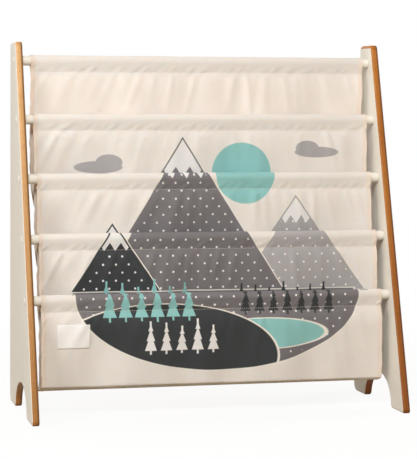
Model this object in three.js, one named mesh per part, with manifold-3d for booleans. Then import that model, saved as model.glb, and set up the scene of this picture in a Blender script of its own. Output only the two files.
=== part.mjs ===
// Sling bookshelf for a nursery, in millimetres.
// +Z is up and the open front faces -Y. The origin is on the floor, midway between the two side
// panels and midway between the front and rear edges of their feet.

import * as THREE from 'three';
import { mergeVertices } from 'three/addons/utils/BufferGeometryUtils.js';
import Module from 'manifold-3d';

// Side panels
const overallWidth = 618;          // over the outer faces of the two side panels
const overallHeight = 600;
const floorDepth = 270;            // front edge to rear edge where a panel meets the floor
const topDepth = 58.6;
const rearLean = 19.1;             // how far the rear edge leans forward by the top
const panelThickness = 12;
const panelEdgeBevel = 1.8;
const topCornerRadius = 12;
const frontToeRadius = 5;
const heelRadius = 8;              // corners where the arch meets the floor
const rearToeRadius = 18;
const frontFootLength = 67;
const rearFootLength = 67;
const archHeight = 50;
const archPeakForward = 8;         // the arch is highest this far in front of the centre

// Cross rods
const rodCount = 5;
const rodDiameter = 16;
const rodInset = 28;               // rod centre behind the front edge, measured level
const topRodDrop = 30.5;           // top rod centre below the top of the panels
const bottomRodHeight = 186.4;
const rodSocketDepth = 3;          // each rod end sits in a shallow socket in the panel
const rodSocketClearance = 0.6;    // round the rod end

// Fasteners
const insertDiameter = 10;
const insertLength = 20;
const boltDiameter = 6;
const boltEngagement = 15;         // bolt thread inside the insert
const boltHoleClearance = 0.3;
const boltHeadDiameter = 9.8;
const boltHeadHeight = 2.8;
const socketWidth = 4;             // across the flats of the bolt's hexagon socket
const socketDepth = 1.8;
const counterboreDiameter = 11;
const counterboreDepth = 5;
const capDiameter = 11.6;
const capRise = 1;
const capRimHeight = 0.6;
const capPlugDepth = 1.6;
const fitGap = 0.3;                // free space round a piece that sits in another

// Fabric slings
const clothThickness = 1.2;
const layerGap = 0.3;
const slingSideGap = 12;           // bare rod between a sling's side hem and the side panel
const sleeveEase = 0.3;
const seamDrop = 24;               // stitched line under each sleeve, below the rod centre
const seamSetback = 6.5;           // cloth at that line, in front of the rod centre
const seamAllowance = 6;
const settleDrop = 50;             // below the rod centre, where the cloth hangs plumb
const hangSetback = 9.4;           // plumb cloth in front of its rod centre
const lowestHangSetback = 12;      // the same under the lowest rod
const pocketDepth = 139;           // upper pockets, from the rod in front down to the bottom
const floorClearance = 37;         // floor to the lowest pocket
const longTurn = 44;               // height over which a pocket's leaning layer turns in
const shortTurn = 12;              // the same for its plumb layer
const foldDepth = 1.3;             // soft upright folds between the rods
const foldPitch = 215;
const hemPull = 3;                 // how far the side hems draw in between the rods
const pocketPull = 4;              // the same along a pocket's lowest line

// Sewn label
const labelWidth = 53;
const labelHeight = 38;
const labelThickness = 0.6;
const labelFromHem = 27;
const labelDrop = 38;              // label's top edge below the lowest rod centre

// Faceting and shares of the sizes above
const rodSides = 24;
const fastenerSides = 12;
const outlineSteps = 5;
const sleeveSteps = 9;
const settleSteps = 3;
const plumbSteps = 4;
const shortTurnSteps = 3;
const longTurnSteps = 5;
const slingStations = 7;
const labelStations = 4;
const upperLowShare = 0.25;        // lowest line of a pocket, from its front to its back
const lowestLowShare = 0.78;
const upperTurnShares = { upright: 0.2, level: 0.75 };
const lowestTurnShares = { upright: 0.52, level: 0.46 };
const domeShare = 0.8;             // flat middle of a cap's domed top

// Sizes worked out from those above
const halfWidth = overallWidth / 2;
const innerHalfWidth = halfWidth - panelThickness;
const halfDepth = floorDepth / 2;
const frontLean = floorDepth - topDepth - rearLean;
const rodRadius = rodDiameter / 2;
const rodPitch = (overallHeight - topRodDrop - bottomRodHeight) / (rodCount - 1);
const insertRadius = insertDiameter / 2;
const boltRadius = boltDiameter / 2;
const boltHoleRadius = boltRadius + boltHoleClearance;
const rodEnd = innerHalfWidth + rodSocketDepth - fitGap;
const counterboreRadius = counterboreDiameter / 2;
const sleeveRadius = rodRadius + sleeveEase + clothThickness / 2;
const layerPitch = clothThickness + layerGap;
const lowestPocketDepth = bottomRodHeight - floorClearance - clothThickness / 2;
const slingHalfWidth = innerHalfWidth - slingSideGap;

const paintedWood = new THREE.MeshStandardMaterial({ color: 0xebe6d6, roughness: 0.45, metalness: 0 });
const paintedRod = new THREE.MeshStandardMaterial({ color: 0xf1ece0, roughness: 0.5, metalness: 0 });
const canvasCloth = new THREE.MeshStandardMaterial({ color: 0xefe2d2, roughness: 0.9, metalness: 0 });
const wovenLabel = new THREE.MeshStandardMaterial({ color: 0xf6f4f1, roughness: 0.8, metalness: 0 });
const zincSteel = new THREE.MeshStandardMaterial({ color: 0xb9bcc0, roughness: 0.35, metalness: 0.9 });
const brass = new THREE.MeshStandardMaterial({ color: 0xc6a14f, roughness: 0.4, metalness: 0.9 });
const capPlastic = new THREE.MeshStandardMaterial({ color: 0xf4f0e6, roughness: 0.5, metalness: 0 });

const manifold = await Module();
manifold.setup();

// Outlines are drawn with Y across and Z up, then stand in their own plane and grow along X.
const standUpright = new THREE.Matrix4().makeBasis(
  new THREE.Vector3(0, 1, 0), new THREE.Vector3(0, 0, 1), new THREE.Vector3(1, 0, 0));

// A closed solid for joining and cutting, with shared corners and no empty triangles.
function solidOf(geometry) {
  const bare = geometry.clone();
  bare.deleteAttribute('normal');
  bare.deleteAttribute('uv');
  const merged = mergeVertices(bare);
  const corners = merged.index.array;
  const kept = [];
  for (let i = 0; i < corners.length; i += 3) {
    const [a, b, c] = [corners[i], corners[i + 1], corners[i + 2]];
    if (a !== b && b !== c && c !== a) kept.push(a, b, c);
  }
  return new manifold.Manifold(new manifold.Mesh({
    numProp: 3,
    vertProperties: Float32Array.from(merged.attributes.position.array),
    triVerts: Uint32Array.from(kept),
  }));
}

function geometryOf(solid) {
  const mesh = solid.getMesh();
  return indexedGeometry(Array.from(mesh.vertProperties), Array.from(mesh.triVerts));
}

function indexedGeometry(positions, triangles) {
  const geometry = new THREE.BufferGeometry();
  geometry.setAttribute('position', new THREE.Float32BufferAttribute(positions, 3));
  geometry.setIndex(triangles);
  geometry.computeVertexNormals();
  return geometry;
}

// A turned piece whose axis lies along X. Each profile point is [radius, place along X].
function turned(profile, sides) {
  const points = profile.map(([radius, along]) => new THREE.Vector2(radius, along));
  return new THREE.LatheGeometry(points, sides).rotateZ(-Math.PI / 2);
}

// A plain cylinder along X from one place to another, kept as a solid for cutting.
function boreTool(radius, from, to, sides) {
  return solidOf(turned([[0, from], [radius, from], [radius, to], [0, to]], sides));
}

function frontEdgeAt(height) {
  return -halfDepth + frontLean * height / overallHeight;
}

// Centre of each cross rod, from the top down, as places in the side view.
const rods = Array.from({ length: rodCount }, (_, i) => {
  const z = overallHeight - topRodDrop - i * rodPitch;
  return { y: frontEdgeAt(z) + rodInset, z };
});

// Rounds the corner of an outline: cuts back by the radius on both sides and bends between.
function roundCorner(shape, before, corner, after, radius) {
  const inward = before.clone().sub(corner).setLength(radius).add(corner);
  const outward = after.clone().sub(corner).setLength(radius).add(corner);
  shape.lineTo(inward.x, inward.y);
  shape.quadraticCurveTo(corner.x, corner.y, outward.x, outward.y);
}

// Side view of a panel: a lean trapezium with an arch between its two feet.
function panelOutline() {
  const frontToe = new THREE.Vector2(-halfDepth, 0);
  const frontHeel = new THREE.Vector2(-halfDepth + frontFootLength, 0);
  const rearHeel = new THREE.Vector2(halfDepth - rearFootLength, 0);
  const rearToe = new THREE.Vector2(halfDepth, 0);
  const topRear = new THREE.Vector2(halfDepth - rearLean, overallHeight);
  const topFront = new THREE.Vector2(topRear.x - topDepth, overallHeight);
  const peak = -archPeakForward;
  const heelAngle = Math.asin(heelRadius / archHeight);
  const shape = new THREE.Shape();
  shape.moveTo(frontToe.x + frontToeRadius, 0);
  shape.lineTo(frontHeel.x - heelRadius, 0);
  const frontRun = peak - frontHeel.x;
  shape.quadraticCurveTo(
    frontHeel.x, 0, peak - frontRun * Math.cos(heelAngle), archHeight * Math.sin(heelAngle));
  shape.absellipse(peak, 0, frontRun, archHeight, Math.PI - heelAngle, Math.PI / 2, true, 0);
  const rearRun = rearHeel.x - peak;
  shape.absellipse(peak, 0, rearRun, archHeight, Math.PI / 2, heelAngle, true, 0);
  shape.quadraticCurveTo(rearHeel.x, 0, rearHeel.x + heelRadius, 0);
  roundCorner(shape, rearHeel, rearToe, topRear, rearToeRadius);
  roundCorner(shape, rearToe, topRear, topFront, topCornerRadius);
  roundCorner(shape, topRear, topFront, frontToe, topCornerRadius);
  roundCorner(shape, topFront, frontToe, frontHeel, frontToeRadius);
  return shape;
}

// One side panel with a rod socket and a stepped bolt hole for each rod.
// side is 1 on the right and -1 on the left.
function sidePanel(side) {
  const board = new THREE.ExtrudeGeometry(panelOutline(), {
    depth: panelThickness - 2 * panelEdgeBevel,
    bevelEnabled: true,
    bevelThickness: panelEdgeBevel,
    bevelSize: panelEdgeBevel,
    bevelOffset: -panelEdgeBevel,
    bevelSegments: 1,
    curveSegments: outlineSteps,
  });
  board.translate(0, 0, -panelThickness / 2 + panelEdgeBevel);
  board.applyMatrix4(standUpright);
  let solid = solidOf(board);
  const half = panelThickness / 2;
  const socketRadius = rodRadius + rodSocketClearance;
  for (const rod of rods) {
    const hole = boreTool(boltHoleRadius, -panelThickness, panelThickness, fastenerSides);
    const step = side > 0
      ? boreTool(counterboreRadius, half - counterboreDepth, panelThickness, fastenerSides)
      : boreTool(counterboreRadius, -panelThickness, counterboreDepth - half, fastenerSides);
    const socket = side > 0
      ? boreTool(socketRadius, -panelThickness, rodSocketDepth - half, rodSides)
      : boreTool(socketRadius, half - rodSocketDepth, panelThickness, rodSides);
    const tool = hole.add(step).add(socket).translate([0, rod.y, rod.z]);
    solid = solid.subtract(tool);
  }
  return geometryOf(solid);
}

// A cross rod with a blind bore in each end for its threaded insert.
function crossRod() {
  const boreDepth = Math.max(insertLength, boltEngagement) + fitGap;
  const bore = insertRadius + fitGap;
  const beyond = innerHalfWidth + panelThickness;
  const solid = boreTool(rodRadius, -rodEnd, rodEnd, rodSides)
    .subtract(boreTool(bore, rodEnd - boreDepth, beyond, fastenerSides))
    .subtract(boreTool(bore, -beyond, boreDepth - rodEnd, fastenerSides));
  return geometryOf(solid);
}

// Fasteners are drawn for the right side, with X counted outwards from the panel's outer face.
function threadedInsert() {
  const outer = rodEnd - halfWidth;
  const inner = outer - insertLength;
  const ring = [
    [boltHoleRadius, inner], [insertRadius, inner], [insertRadius, outer],
    [boltHoleRadius, outer], [boltHoleRadius, inner],
  ];
  return turned(ring, fastenerSides);
}

function panelBolt() {
  const seat = -counterboreDepth;
  const tip = rodEnd - halfWidth - boltEngagement;
  const top = seat + boltHeadHeight;
  const headRadius = boltHeadDiameter / 2;
  const body = solidOf(turned([
    [0, tip], [boltRadius, tip], [boltRadius, seat], [headRadius, seat],
    [headRadius, top - boltHeadHeight / 2], [boltRadius, top], [0, top],
  ], fastenerSides));
  const hexagonSides = 6;
  const cornerRadius = socketWidth / 2 / Math.cos(Math.PI / hexagonSides);
  return geometryOf(body.subtract(boreTool(cornerRadius, top - socketDepth, 0, hexagonSides)));
}

function coverCap() {
  const plugRadius = counterboreRadius - fitGap;
  const capRadius = capDiameter / 2;
  return turned([
    [0, -capPlugDepth], [plugRadius, -capPlugDepth], [plugRadius, 0], [capRadius, 0],
    [capRadius, capRimHeight], [capRadius * domeShare, capRise], [0, capRise],
  ], fastenerSides);
}

// How far in front of its rod the cloth hangs, at a drop below the rod's centre.
function hangAt(drop, plumb) {
  const along = THREE.MathUtils.clamp((drop - seamDrop) / (settleDrop - seamDrop), 0, 1);
  return THREE.MathUtils.lerp(seamSetback, plumb, 1 - (1 - along) ** 2);
}

// Fullness of the soft folds at a drop: none at the seam, most half way, none at the bottom.
function fullness(drop) {
  const reach = rodPitch + pocketDepth - seamDrop;
  return Math.sin(Math.PI * THREE.MathUtils.clamp((drop - seamDrop) / reach, 0, 1));
}

// A place on a sling's side view. full is its share of the folds and pull how far its hems draw in.
function clothPoint(rod, ahead, drop, full) {
  return { y: rod.y - ahead, z: rod.z - drop, full, pull: full * hemPull };
}

// Angle round the rod's centre where a straight line from a point touches the sleeve's circle.
function tangentAngle(ahead, drop, turn) {
  const distance = Math.hypot(ahead, drop);
  return Math.atan2(-drop, -ahead) + turn * Math.acos(sleeveRadius / distance);
}

// The sleeve round a rod, from its stitched end behind the seam, over the rod, to the seam.
function sleeveLine(rod, plumb) {
  const behind = seamSetback - layerPitch;
  const start = tangentAngle(behind, seamDrop, 1);
  const end = tangentAngle(seamSetback, seamDrop, -1) + 2 * Math.PI;
  const tail = seamDrop + seamAllowance;
  const line = [
    clothPoint(rod, hangAt(tail, plumb) - layerPitch, tail, fullness(tail)),
    clothPoint(rod, behind, seamDrop, 0),
  ];
  for (let i = 0; i <= sleeveSteps; i += 1) {
    const angle = THREE.MathUtils.lerp(start, end, i / sleeveSteps);
    line.push(clothPoint(rod, -sleeveRadius * Math.cos(angle), -sleeveRadius * Math.sin(angle), 0));
  }
  return line;
}

// Cloth hanging from a rod's seam down to a drop, kept a few layers back where others cover it.
function hangingLine(rod, plumb, layersBack, toDrop) {
  const back = layersBack * layerPitch;
  const line = [];
  for (let i = 0; i <= settleSteps; i += 1) {
    const drop = THREE.MathUtils.lerp(seamDrop, settleDrop, i / settleSteps);
    line.push(clothPoint(rod, hangAt(drop, plumb) - back, drop, fullness(drop)));
  }
  for (let i = 1; i <= plumbSteps; i += 1) {
    const drop = THREE.MathUtils.lerp(settleDrop, toDrop, i / plumbSteps);
    line.push(clothPoint(rod, plumb - back, drop, fullness(drop)));
  }
  return line;
}

// Half of a pocket's bottom: one layer of cloth turns in from upright to its lowest line.
function turnLine(layer, lowest, shares, steps) {
  const curve = new THREE.CubicBezierCurve(
    new THREE.Vector2(layer.y, layer.z),
    new THREE.Vector2(layer.y, THREE.MathUtils.lerp(layer.z, lowest.z, shares.upright)),
    new THREE.Vector2(THREE.MathUtils.lerp(layer.y, lowest.y, shares.level), lowest.z),
    new THREE.Vector2(lowest.y, lowest.z));
  return curve.getPoints(steps).map(({ x, y }) => {
    const rise = (y - lowest.z) / (layer.z - lowest.z);
    const pull = THREE.MathUtils.lerp(pocketPull, layer.pull, rise);
    return { y: x, z: y, full: layer.full * rise, pull };
  });
}

// Side view of one sling, from its sleeve on one rod, down, and up again to the rod in front.
// An upper pocket's back layer leans forward at its bottom, and the lowest one's front leans back.
function slingLine(index) {
  const rod = rods[index];
  const nextRod = rods[index + 1];
  const isLowest = index === rodCount - 2;
  const depth = isLowest ? lowestPocketDepth : pocketDepth;
  const plumb = isLowest ? lowestHangSetback : hangSetback;
  const backTurn = isLowest ? shortTurn : longTurn;
  const frontTurn = isLowest ? longTurn : shortTurn;
  const shares = isLowest ? lowestTurnShares : upperTurnShares;
  const line = [
    ...sleeveLine(rod, hangSetback),
    ...hangingLine(rod, hangSetback, 0, rodPitch + depth - backTurn),
  ];
  const rising = hangingLine(nextRod, plumb, isLowest ? 0 : 2, depth - frontTurn).reverse();
  if (!isLowest) rising[rising.length - 1].z -= layerPitch;
  const back = line[line.length - 1];
  const front = rising[0];
  const lowShare = isLowest ? lowestLowShare : upperLowShare;
  const lowest = { y: THREE.MathUtils.lerp(front.y, back.y, lowShare), z: nextRod.z - depth };
  const backSteps = isLowest ? shortTurnSteps : longTurnSteps;
  const frontSteps = isLowest ? longTurnSteps : shortTurnSteps;
  line.push(...turnLine(back, lowest, shares, backSteps).slice(1));
  line.push(...turnLine(front, lowest, shares, frontSteps).slice(1, -1).reverse(), ...rising);
  if (isLowest) line.push(...sleeveLine(nextRod, plumb).reverse());
  return line;
}

// Soft upright folds: how far the cloth stands forward at a place across the shelf.
// They run straight between evenly spaced upright lines, so that what is sewn on follows them.
function foldShift(x) {
  const lineGap = 2 * slingHalfWidth / (slingStations - 1);
  const place = (x + slingHalfWidth) / lineGap;
  const line = Math.min(Math.floor(place), slingStations - 2);
  const shiftAt = (i) => -foldDepth
    * Math.cos(2 * Math.PI * (i * lineGap - slingHalfWidth) / foldPitch);
  return THREE.MathUtils.lerp(shiftAt(line), shiftAt(line + 1), place - line);
}

// A sheet of cloth that follows a side view between two places across the shelf.
// lift moves it off that line along its outer side, for what is sewn on top.
function sheet(line, fromX, toX, stations, thickness, lift) {
  const positions = [];
  const half = thickness / 2;
  for (const offset of [lift + half, lift - half]) {
    line.forEach((point, j) => {
      const before = line[Math.max(j - 1, 0)];
      const after = line[Math.min(j + 1, line.length - 1)];
      const into = new THREE.Vector2(point.y - before.y, point.z - before.z).normalize();
      const out = new THREE.Vector2(after.y - point.y, after.z - point.z).normalize();
      const along = into.clone().add(out).normalize();
      const spread = along.dot(out.lengthSq() > 0 ? out : into);
      for (let i = 0; i < stations; i += 1) {
        const flat = THREE.MathUtils.lerp(fromX, toX, i / (stations - 1));
        const x = flat * (1 - point.pull / slingHalfWidth);
        positions.push(
          x,
          point.y + along.y * offset / spread + foldShift(flat) * point.full,
          point.z - along.x * offset / spread);
      }
    });
  }
  const rows = line.length;
  const at = (layer, j, i) => (layer * rows + j) * stations + i;
  const triangles = [];
  const quad = (a, b, c, d) => triangles.push(a, b, c, a, c, d);
  for (let j = 0; j < rows - 1; j += 1) {
    for (let i = 0; i < stations - 1; i += 1) {
      quad(at(0, j, i), at(0, j + 1, i), at(0, j + 1, i + 1), at(0, j, i + 1));
      quad(at(1, j, i), at(1, j, i + 1), at(1, j + 1, i + 1), at(1, j + 1, i));
    }
    const last = stations - 1;
    quad(at(0, j, 0), at(1, j, 0), at(1, j + 1, 0), at(0, j + 1, 0));
    quad(at(0, j, last), at(0, j + 1, last), at(1, j + 1, last), at(1, j, last));
  }
  const end = rows - 1;
  for (let i = 0; i < stations - 1; i += 1) {
    quad(at(0, 0, i), at(0, 0, i + 1), at(1, 0, i + 1), at(1, 0, i));
    quad(at(0, end, i), at(1, end, i), at(1, end, i + 1), at(0, end, i + 1));
  }
  return indexedGeometry(positions, triangles);
}

const shelf = new THREE.Group();

function addPiece(name, geometry, material, x = 0, y = 0, z = 0) {
  const mesh = new THREE.Mesh(geometry, material);
  mesh.name = name;
  mesh.position.set(x, y, z);
  shelf.add(mesh);
  return mesh;
}

addPiece('side_panel_left', sidePanel(-1), paintedWood, panelThickness / 2 - halfWidth);
addPiece('side_panel_right', sidePanel(1), paintedWood, halfWidth - panelThickness / 2);

const rodGeometry = crossRod();
const fasteners = [
  ['threaded_insert', threadedInsert(), brass],
  ['panel_bolt', panelBolt(), zincSteel],
  ['cover_cap', coverCap(), capPlastic],
];

rods.forEach((rod, i) => {
  addPiece(`cross_rod_${i + 1}`, rodGeometry, paintedRod, 0, rod.y, rod.z);
  for (const [name, geometry, material] of fasteners) {
    addPiece(`${name}_right_${i + 1}`, geometry, material, halfWidth, rod.y, rod.z);
    const left = addPiece(`${name}_left_${i + 1}`, geometry, material, -halfWidth, rod.y, rod.z);
    left.rotation.z = Math.PI;
  }
});

for (let i = 0; i < rodCount - 1; i += 1) {
  const cloth = sheet(slingLine(i), -slingHalfWidth, slingHalfWidth, slingStations, clothThickness, 0);
  addPiece(`fabric_sling_${i + 1}`, cloth, canvasCloth);
}

// The label follows the cloth that it is sewn to, under the lowest rod near the left hem.
const labelRod = rods[rodCount - 1];
const labelLine = Array.from({ length: labelStations }, (_, i) => {
  const drop = labelDrop + labelHeight * i / (labelStations - 1);
  return clothPoint(labelRod, hangAt(drop, lowestHangSetback), drop, fullness(drop));
});
const labelLeft = -slingHalfWidth + labelFromHem;
const labelLift = (clothThickness + labelThickness) / 2 + layerGap;
addPiece('blank_label', sheet(
  labelLine, labelLeft, labelLeft + labelWidth, labelStations, labelThickness, labelLift), wovenLabel);

export default shelf;
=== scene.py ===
"""Looks of the nursery sling bookshelf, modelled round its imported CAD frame.

Everything is in metres with +Z up. The open front faces -Y, and the origin lies on the floor
midway between the two side panels. The panels, rods and caps are modelled with hand tools, the
four slings and the bare label are sheets of cloth, and the bolts and their inserts keep their CAD
meshes under new finishes.
"""

import logging
import math
from dataclasses import dataclass, field
from enum import Enum
from typing import Callable, NamedTuple, Sequence

import bmesh
import bpy
import numpy as np
from mathutils import Matrix, Vector

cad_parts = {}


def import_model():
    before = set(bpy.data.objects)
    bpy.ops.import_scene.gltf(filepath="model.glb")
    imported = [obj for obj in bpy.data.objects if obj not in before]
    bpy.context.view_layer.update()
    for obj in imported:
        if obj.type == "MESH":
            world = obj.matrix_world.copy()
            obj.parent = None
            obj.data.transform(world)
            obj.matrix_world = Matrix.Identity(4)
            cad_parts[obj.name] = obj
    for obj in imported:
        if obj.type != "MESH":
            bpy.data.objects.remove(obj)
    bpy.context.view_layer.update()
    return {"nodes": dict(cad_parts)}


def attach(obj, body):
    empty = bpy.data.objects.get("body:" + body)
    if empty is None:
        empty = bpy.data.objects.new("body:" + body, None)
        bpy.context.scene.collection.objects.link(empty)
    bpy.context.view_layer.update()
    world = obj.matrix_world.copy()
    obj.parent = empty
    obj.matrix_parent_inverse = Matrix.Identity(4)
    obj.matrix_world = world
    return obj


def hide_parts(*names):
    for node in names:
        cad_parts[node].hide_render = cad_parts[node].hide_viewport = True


log = logging.getLogger("sling_bookshelf")

Point = tuple[float, float]
Triple = tuple[float, float, float]
Colour = Triple
Given = object
Array = np.ndarray
Number = float | Array
Piece = bpy.types.Object
Node = bpy.types.Node
Socket = bpy.types.NodeSocket
Sockets = dict[str, Socket]

PER_MM = 1000.0
BODY = "root"


class Side(Enum):
    """The two ends of the shelf, seen by someone who faces its open front."""

    LEFT = -1
    RIGHT = 1

    @property
    def word(self) -> str:
        """The side's name as CAD nodes have it."""
        return self.name.lower()


class Pick(Enum):
    """What a selection in edit mode is made of."""

    VERT = "VERT"
    EDGE = "EDGE"
    FACE = "FACE"


class Slot(Enum):
    """Names of material slots, passed along with the new pieces."""

    PANEL = "painted_panel"
    ROD = "painted_rod"
    CAP = "cap_plastic"
    CANVAS = "sling_canvas"
    LABEL = "label_cloth"


@dataclass(frozen=True)
class ShelfSizes:
    """Driving sizes of the shelf, the same as the CAD source's."""

    width: float = 0.618
    height: float = 0.600
    floor_depth: float = 0.270
    top_depth: float = 0.0586
    rear_lean: float = 0.0191
    panel_thickness: float = 0.012
    rod_count: int = 5
    rod_radius: float = 0.008
    rod_inset: float = 0.028
    top_rod_drop: float = 0.0305
    bottom_rod_height: float = 0.1864
    socket_depth: float = 0.003
    rod_end_gap: float = 0.0003

    @property
    def inner_half_width(self) -> float:
        """Distance from the middle to a panel's inner face."""
        return self.width / 2 - self.panel_thickness

    @property
    def rod_pitch(self) -> float:
        """Height from one rod to the next."""
        return (self.height - self.top_rod_drop - self.bottom_rod_height) / (self.rod_count - 1)

    def rod(self, index: int) -> Point:
        """Finds the centre of a rod in the side view.

        Args:
            index: the rod, counted down from 0 at the top.

        Returns:
            Its place along Y and Z.
        """
        z = self.height - self.top_rod_drop - index * self.rod_pitch
        front_lean = self.floor_depth - self.top_depth - self.rear_lean
        return -self.floor_depth / 2 + front_lean * z / self.height + self.rod_inset, z


def mix(a: Number, b: Number, share: Number) -> Number:
    """Goes from a to b by a share, for numbers and arrays alike."""
    return a + (b - a) * share


def bump(away: Array) -> Array:
    """Gives a smooth bump: 1 at a distance of 0, fading past a distance of 1."""
    return np.exp(-(away ** 2))


def scatter(*seeds: int) -> float:
    """Gives an uneven number from 0 to 1, the same on every run, for the place that the seeds name."""
    total = sum(seed * weight for seed, weight in zip(seeds, (12.9898, 78.233, 37.719, 4.581)))
    return math.sin(total + 1.7) * 43758.5453 % 1.0


def bend(start: Point, control: Point, end: Point, steps: int) -> list[Point]:
    """Draws a corner's curve in the side view.

    Args:
        start: where the curve leaves the straight.
        control: the sharp corner that it rounds.
        end: where it meets the next straight.
        steps: how many stretches it has.

    Returns:
        Its points, both ends included.
    """
    points = []
    for i in range(steps + 1):
        t = i / steps
        near, middle, far = (1 - t) ** 2, 2 * t * (1 - t), t * t
        points.append(tuple(near * s + middle * c + far * e for s, c, e in zip(start, control, end)))
    return points


def put_in_scene(name: str, data: bpy.types.ID) -> Piece:
    """Makes an object of its data and links it to the scene.

    Args:
        name: the object's name.
        data: its mesh, lamp or camera.

    Returns:
        The object.
    """
    made = bpy.data.objects.new(name, data)
    bpy.context.scene.collection.objects.link(made)
    return made


def sewn_mesh(name: str, points: Array, faces: list, material: bpy.types.Material) -> Piece:
    """Makes a smooth piece of cloth or thread from its points and faces.

    Args:
        name: the piece's name.
        points: its points.
        faces: the corners of each face.
        material: its finish.

    Returns:
        The piece.
    """
    mesh = bpy.data.meshes.new(name)
    mesh.from_pydata(points.tolist(), [], faces)
    mesh.materials.append(material)
    mesh.polygons.foreach_set("use_smooth", np.ones(len(mesh.polygons), bool))
    mesh.update()
    return put_in_scene(name, mesh)


def mark(mesh: bpy.types.Mesh, name: str, values: Array) -> None:
    """Keeps a number or a place for every vertex of a mesh.

    Args:
        mesh: the mesh.
        name: the attribute that keeps them.
        values: a number or a row of three for each vertex.
    """
    kind, key = ("FLOAT_VECTOR", "vector") if values.ndim > 1 else ("FLOAT", "value")
    layer = mesh.attributes.new(name, kind, "POINT")
    layer.data.foreach_set(key, values.astype(np.float32).ravel())


class Bench:
    """The hand tools that the solid pieces are made with."""

    @staticmethod
    def clear() -> None:
        """Leaves edit mode and deselects everything."""
        if bpy.context.object is not None and bpy.context.object.mode != "OBJECT":
            bpy.ops.object.mode_set(mode="OBJECT")
        bpy.ops.object.select_all(action="DESELECT")

    @staticmethod
    def take(piece: Piece) -> None:
        """Makes one piece active, with nothing else selected.

        Args:
            piece: the piece.
        """
        Bench.clear()
        piece.select_set(True)
        bpy.context.view_layer.objects.active = piece

    @staticmethod
    def start(name: str, add: Callable[[], set]) -> Piece:
        """Adds a primitive as the start of a piece.

        Args:
            name: the piece's name.
            add: the operator call that adds the primitive.

        Returns:
            The new object, which is active and selected.
        """
        Bench.clear()
        add()
        piece = bpy.context.active_object
        piece.name = name
        piece.data.name = name
        return piece

    @staticmethod
    def edit(piece: Piece) -> None:
        """Opens one piece in edit mode with nothing in it selected.

        Args:
            piece: the piece.
        """
        Bench.take(piece)
        bpy.ops.object.mode_set(mode="EDIT")
        bpy.ops.mesh.select_mode(type=Pick.VERT.value)
        bpy.ops.mesh.select_all(action="DESELECT")

    @staticmethod
    def pick(piece: Piece, kind: Pick, wanted: Callable[[object], bool]) -> None:
        """Selects what passes a test in the piece that is open in edit mode.

        Args:
            piece: the piece.
            kind: vertices, edges or faces.
            wanted: the test, on a vertex, edge or face.
        """
        bpy.ops.mesh.select_mode(type=kind.value)
        bpy.ops.mesh.select_all(action="DESELECT")
        shape = bmesh.from_edit_mesh(piece.data)
        shape.normal_update()
        parts = {Pick.VERT: shape.verts, Pick.EDGE: shape.edges, Pick.FACE: shape.faces}[kind]
        for part in [part for part in parts if wanted(part)]:
            part.select_set(True)
        shape.select_flush(True)
        bmesh.update_edit_mesh(piece.data)

    @staticmethod
    def settle(piece: Piece) -> Piece:
        """Puts a piece's place and turn into its mesh, so that its object sits at the origin.

        Args:
            piece: the piece.

        Returns:
            The piece.
        """
        Bench.take(piece)
        bpy.ops.object.transform_apply(location=True, rotation=True, scale=True)
        return piece

    @staticmethod
    def cut(piece: Piece, cutter: Piece) -> None:
        """Takes one closed shape out of a piece and throws the cutter away.

        Args:
            piece: the piece.
            cutter: the shape.
        """
        Bench.take(piece)
        tool = piece.modifiers.new("cut", "BOOLEAN")
        tool.operation = "DIFFERENCE"
        tool.solver = "EXACT"
        tool.object = cutter
        bpy.ops.object.modifier_apply(modifier=tool.name)
        bpy.data.objects.remove(cutter)

    @staticmethod
    def round_bar(name: str, radius: float, ends: Point, centre: Point, sides: int) -> Piece:
        """Adds a cylinder that lies along X, with its place in its mesh.

        Args:
            name: the piece's name.
            radius: its radius.
            ends: where it starts and ends along X.
            centre: its axis in the side view.
            sides: how many sides it has.

        Returns:
            The cylinder.
        """
        place = ((ends[0] + ends[1]) / 2, *centre)
        bar = Bench.start(name, lambda: bpy.ops.mesh.primitive_cylinder_add(
            vertices=sides, radius=radius, depth=ends[1] - ends[0],
            location=place, rotation=(0, math.pi / 2, 0)))
        return Bench.settle(bar)

    @staticmethod
    def smooth(piece: Piece, degrees: float) -> None:
        """Shades a piece smooth up to an angle between faces."""
        Bench.take(piece)
        bpy.ops.object.shade_smooth_by_angle(angle=math.radians(degrees))

    @staticmethod
    def copy(piece: Piece, name: str, matrix: Matrix) -> Piece:
        """Copies a piece with its own mesh, and sets the copy in its place.

        Args:
            piece: what is copied.
            name: the copy's name.
            matrix: how the copy is turned and moved.

        Returns:
            The copy.
        """
        twin = put_in_scene(name, piece.data.copy())
        twin.data.name = name
        twin.matrix_world = matrix
        return Bench.settle(twin)


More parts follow.
